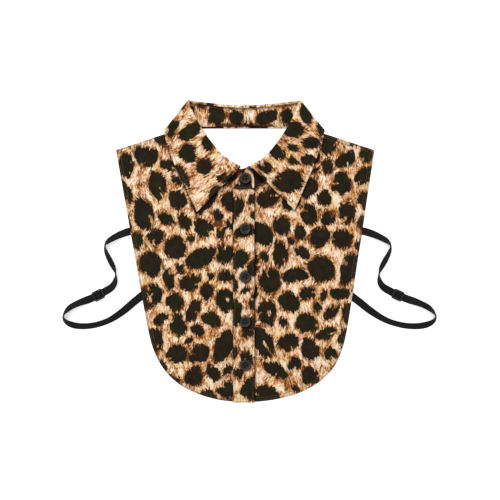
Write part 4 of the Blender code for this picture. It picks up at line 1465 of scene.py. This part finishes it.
class COLLAR_OT_buttons(bpy.types.Operator):
    """Makes the five four-hole buttons and their sewing thread"""

    bl_idname = "collar.make_buttons"
    bl_label = "Buttons"

    def execute(self, context):
        plastic = context.scene.collar_plastic
        surface = shared("black plastic", black_plastic, plastic.colour, plastic.painted_light)
        neck, top = (Vector(p) for p in RIGHT_STAND_END[-1])
        slope = math.atan2(top.z - neck.z, top.y - neck.y)
        share = (COLLAR_BUTTON_Y - neck.y) / (top.y - neck.y)
        stand_z = lerp(neck.z, top.z, share) + CLOTH / 2 / math.cos(slope)
        seats = [(COLLAR_BUTTON_Y, stand_z + SEAM_GAP + 0.05, slope)]
        seats += [(y, LAYER + CLOTH + SEAM_GAP, 0.0) for y in BUTTON_Y]
        stitches, shanks = [], []
        for number, ((y, z, tilt), spin) in enumerate(zip(seats, BUTTON_SPINS), 1):
            seat = (Matrix.Translation(Vector((0.0, y, z + float(lay(0.0, y)))))
                    @ Matrix.Rotation(tilt, 4, "X") @ Matrix.Rotation(spin, 4, "Z"))
            across, ahead, up = (seat.to_3x3() @ axis for axis in Matrix.Identity(3))
            mesh = self.button(f"shirt_button_{number}")
            mesh.transform(Matrix.Scale(MM, 4) @ seat)
            mesh.materials.append(surface)
            made = add_object(f"shirt_button_{number}", mesh)
            finish_piece(made, "black_plastic", f"button_{number}")
            for sx in (-1, 1):
                stitches += [(seat @ Vector((sx * HOLE_OFFSET + lane, 0.0, THREAD_Z)), ahead, up)
                             for lane in (-0.2, 0.2)]
                shanks += [(seat @ Vector((sx * HOLE_OFFSET, sy * HOLE_OFFSET, SHANK_Z)),
                            up, sx * across) for sy in (-1, 1)]
        sew("button_sewing", stitches, thread("button"), 3, length=2.3, width=0.34, arch=0.16,
            slot="black_plastic")
        # shanks in the holes, painted near-black as shade
        sew("button_shanks", shanks, thread("shank"), 4, length=1.5, width=1.5, arch=0.02,
            slot="black_plastic")
        return {"FINISHED"}

    @staticmethod
    def button(name):
        """A dished button with a rolled rim and four countersunk holes, in millimetres."""
        points, faces, hollow = [], [], []

        def ring(radius, height, count, cx=0.0, cy=0.0):
            start = len(points)
            for k in range(count):
                angle = 2 * math.pi * k / count
                points.append((cx + radius * math.cos(angle), cy + radius * math.sin(angle), height))
            return list(range(start, len(points)))

        def bridge(a, b):
            for k in range(len(a)):
                n = (k + 1) % len(a)
                faces.append((a[k], a[n], b[n], b[k]))

        def plate(rim, mouths):
            """Fills the flat inside a rim, round the mouths of the holes."""
            loops = [rim, *mouths]
            flat = [Vector(points[i][:2]) for loop in loops for i in loop]
            back = [i for loop in loops for i in loop]
            edges, start = [], 0
            for loop in loops:
                edges += [(start + k, start + (k + 1) % len(loop)) for k in range(len(loop))]
                start += len(loop)
            verts, _, tris, origin, _, _ = delaunay_2d_cdt(flat, edges, [], 0, 1e-7)
            for tri in tris:
                middle = sum((verts[i] for i in tri), Vector((0.0, 0.0))) / 3
                if all((middle - Vector(c)).length > HOLE_RADIUS + 0.12 for c in centres):
                    faces.append(tuple(back[origin[i][0]] for i in tri))

        rings = [ring(r, z, BUTTON_AROUND) for r, z in BUTTON_PROFILE]
        for a, b in zip(rings, rings[1:]):
            bridge(a, b)
        centres = [(sx * HOLE_OFFSET, sy * HOLE_OFFSET) for sx in (-1, 1) for sy in (-1, 1)]
        both = []
        for rim in (0, -1):
            both.append([ring(HOLE_RADIUS + COUNTERSINK, BUTTON_PROFILE[rim][1], HOLE_AROUND, *c)
                         for c in centres])
            plate(rings[rim], both[-1])
        for centre, a, b in zip(centres, *both):
            hollow.append(len(points))
            throat = [ring(HOLE_RADIUS, z, HOLE_AROUND, *centre) for z in THROAT_Z]
            for upper, lower in ((a, throat[0]), throat, (throat[1], b)):
                bridge(upper, lower)
        mesh = bpy.data.meshes.new(name)
        mesh.from_pydata(points, [], faces)
        face_outwards(mesh)
        # painted highlight on the rim's crest; the holes' throats get -1 and are painted near-black as
        # shade
        painted_light = [smoothstep((z - 2.15) / 0.35) * smoothstep((6.9 - math.hypot(x, y)) / 0.9)
                  for x, y, z in points]
        for start in hollow:
            painted_light[start:start + 2 * HOLE_AROUND] = [-1.0] * (2 * HOLE_AROUND)
        mark_painted_light(mesh, painted_light)
        return mesh


class COLLAR_OT_stage(bpy.types.Operator):
    """Makes the pale table, the soft lights and the camera straight above"""

    bl_idname = "collar.make_stage"
    bl_label = "Table, light and camera"

    def execute(self, context):
        stage = context.scene.collar_stage
        surface, tree, shader = new_material("pale table", {
            "Specular IOR Level": 0.1, "Emission Color": (1.0, 1.0, 1.0, 1.0),
            "Emission Strength": stage.floor_glow})
        grain = tree.noise(tree.object_place(), 30.0, 3.0)
        wire_up(tree, shader, Base_Color=tree.mix(grain * 0.04, tuple(stage.floor), (0.93, 0.93, 0.94)),
                Roughness=0.9 + (grain - 0.5) * 0.05)
        mesh = bpy.data.meshes.new("floor")
        mesh.from_pydata([(x * TABLE_HALF, y * TABLE_HALF, TABLE_Z)
                          for x, y in ((-1, -1), (1, -1), (1, 1), (-1, 1))], [], [(0, 1, 2, 3)])
        mesh.materials.append(surface)
        add_object("floor", mesh)

        world = context.scene.world or bpy.data.worlds.new("room")
        context.scene.world = world
        world.use_nodes = True
        back = (world.node_tree.nodes.get("Background")
                or world.node_tree.nodes.new("ShaderNodeBackground"))
        back.inputs["Color"].default_value = (1.0, 1.0, 1.0, 1.0)
        back.inputs["Strength"].default_value = stage.sky
        for name, place, size, power in (("key", (-0.9, 1.1, 1.7), 1.4, stage.key),
                                         ("fill", (1.3, -0.5, 1.5), 1.2, stage.fill)):
            light = bpy.data.lights.new(f"{name}_light", "AREA")
            light.shape, light.size, light.energy = "DISK", size, power
            lamp = add_object(f"{name}_light", light)
            lamp.location = place
            lamp.rotation_euler = (-Vector(place)).to_track_quat("-Z", "Y").to_euler()

        camera = bpy.data.cameras.new("camera")
        camera.lens, camera.sensor_width = 85.0, 36.0
        eye = add_object("camera", camera)
        eye.location = (*stage.centre, stage.frame_width * camera.lens / camera.sensor_width)
        context.scene.camera = eye
        context.scene.view_settings.view_transform = "Standard"
        return {"FINISHED"}


class COLLAR_PT_panel(bpy.types.Panel):
    """Steps that make the collar"""

    bl_label = "Detachable Collar"
    bl_idname = "COLLAR_PT_panel"
    bl_space_type = "VIEW_3D"
    bl_region_type = "UI"
    bl_category = "Collar"

    def draw(self, context):
        for operator in OPERATORS:
            self.layout.operator(operator.bl_idname)


SETTINGS = (("collar_cloth", ClothSettings), ("collar_elastic", ElasticSettings),
            ("collar_plastic", PlasticSettings), ("collar_stage", StageSettings))
OPERATORS = (COLLAR_OT_stage, COLLAR_OT_fronts, COLLAR_OT_placket, COLLAR_OT_stand,
             COLLAR_OT_leaf, COLLAR_OT_straps, COLLAR_OT_sliders, COLLAR_OT_buttons)


def register():
    for name, settings in SETTINGS:
        bpy.utils.register_class(settings)
        setattr(bpy.types.Scene, name, PointerProperty(type=settings))
    for cls in (*OPERATORS, COLLAR_PT_panel):
        bpy.utils.register_class(cls)


def unregister():
    for cls in (COLLAR_PT_panel, *reversed(OPERATORS)):
        bpy.utils.unregister_class(cls)
    for name, settings in reversed(SETTINGS):
        delattr(bpy.types.Scene, name)
        bpy.utils.unregister_class(settings)


def main():
    register()
    for operator in OPERATORS:
        group, name = operator.bl_idname.split(".")
        getattr(getattr(bpy.ops, group), name)()


if __name__ == "__main__":
    main()
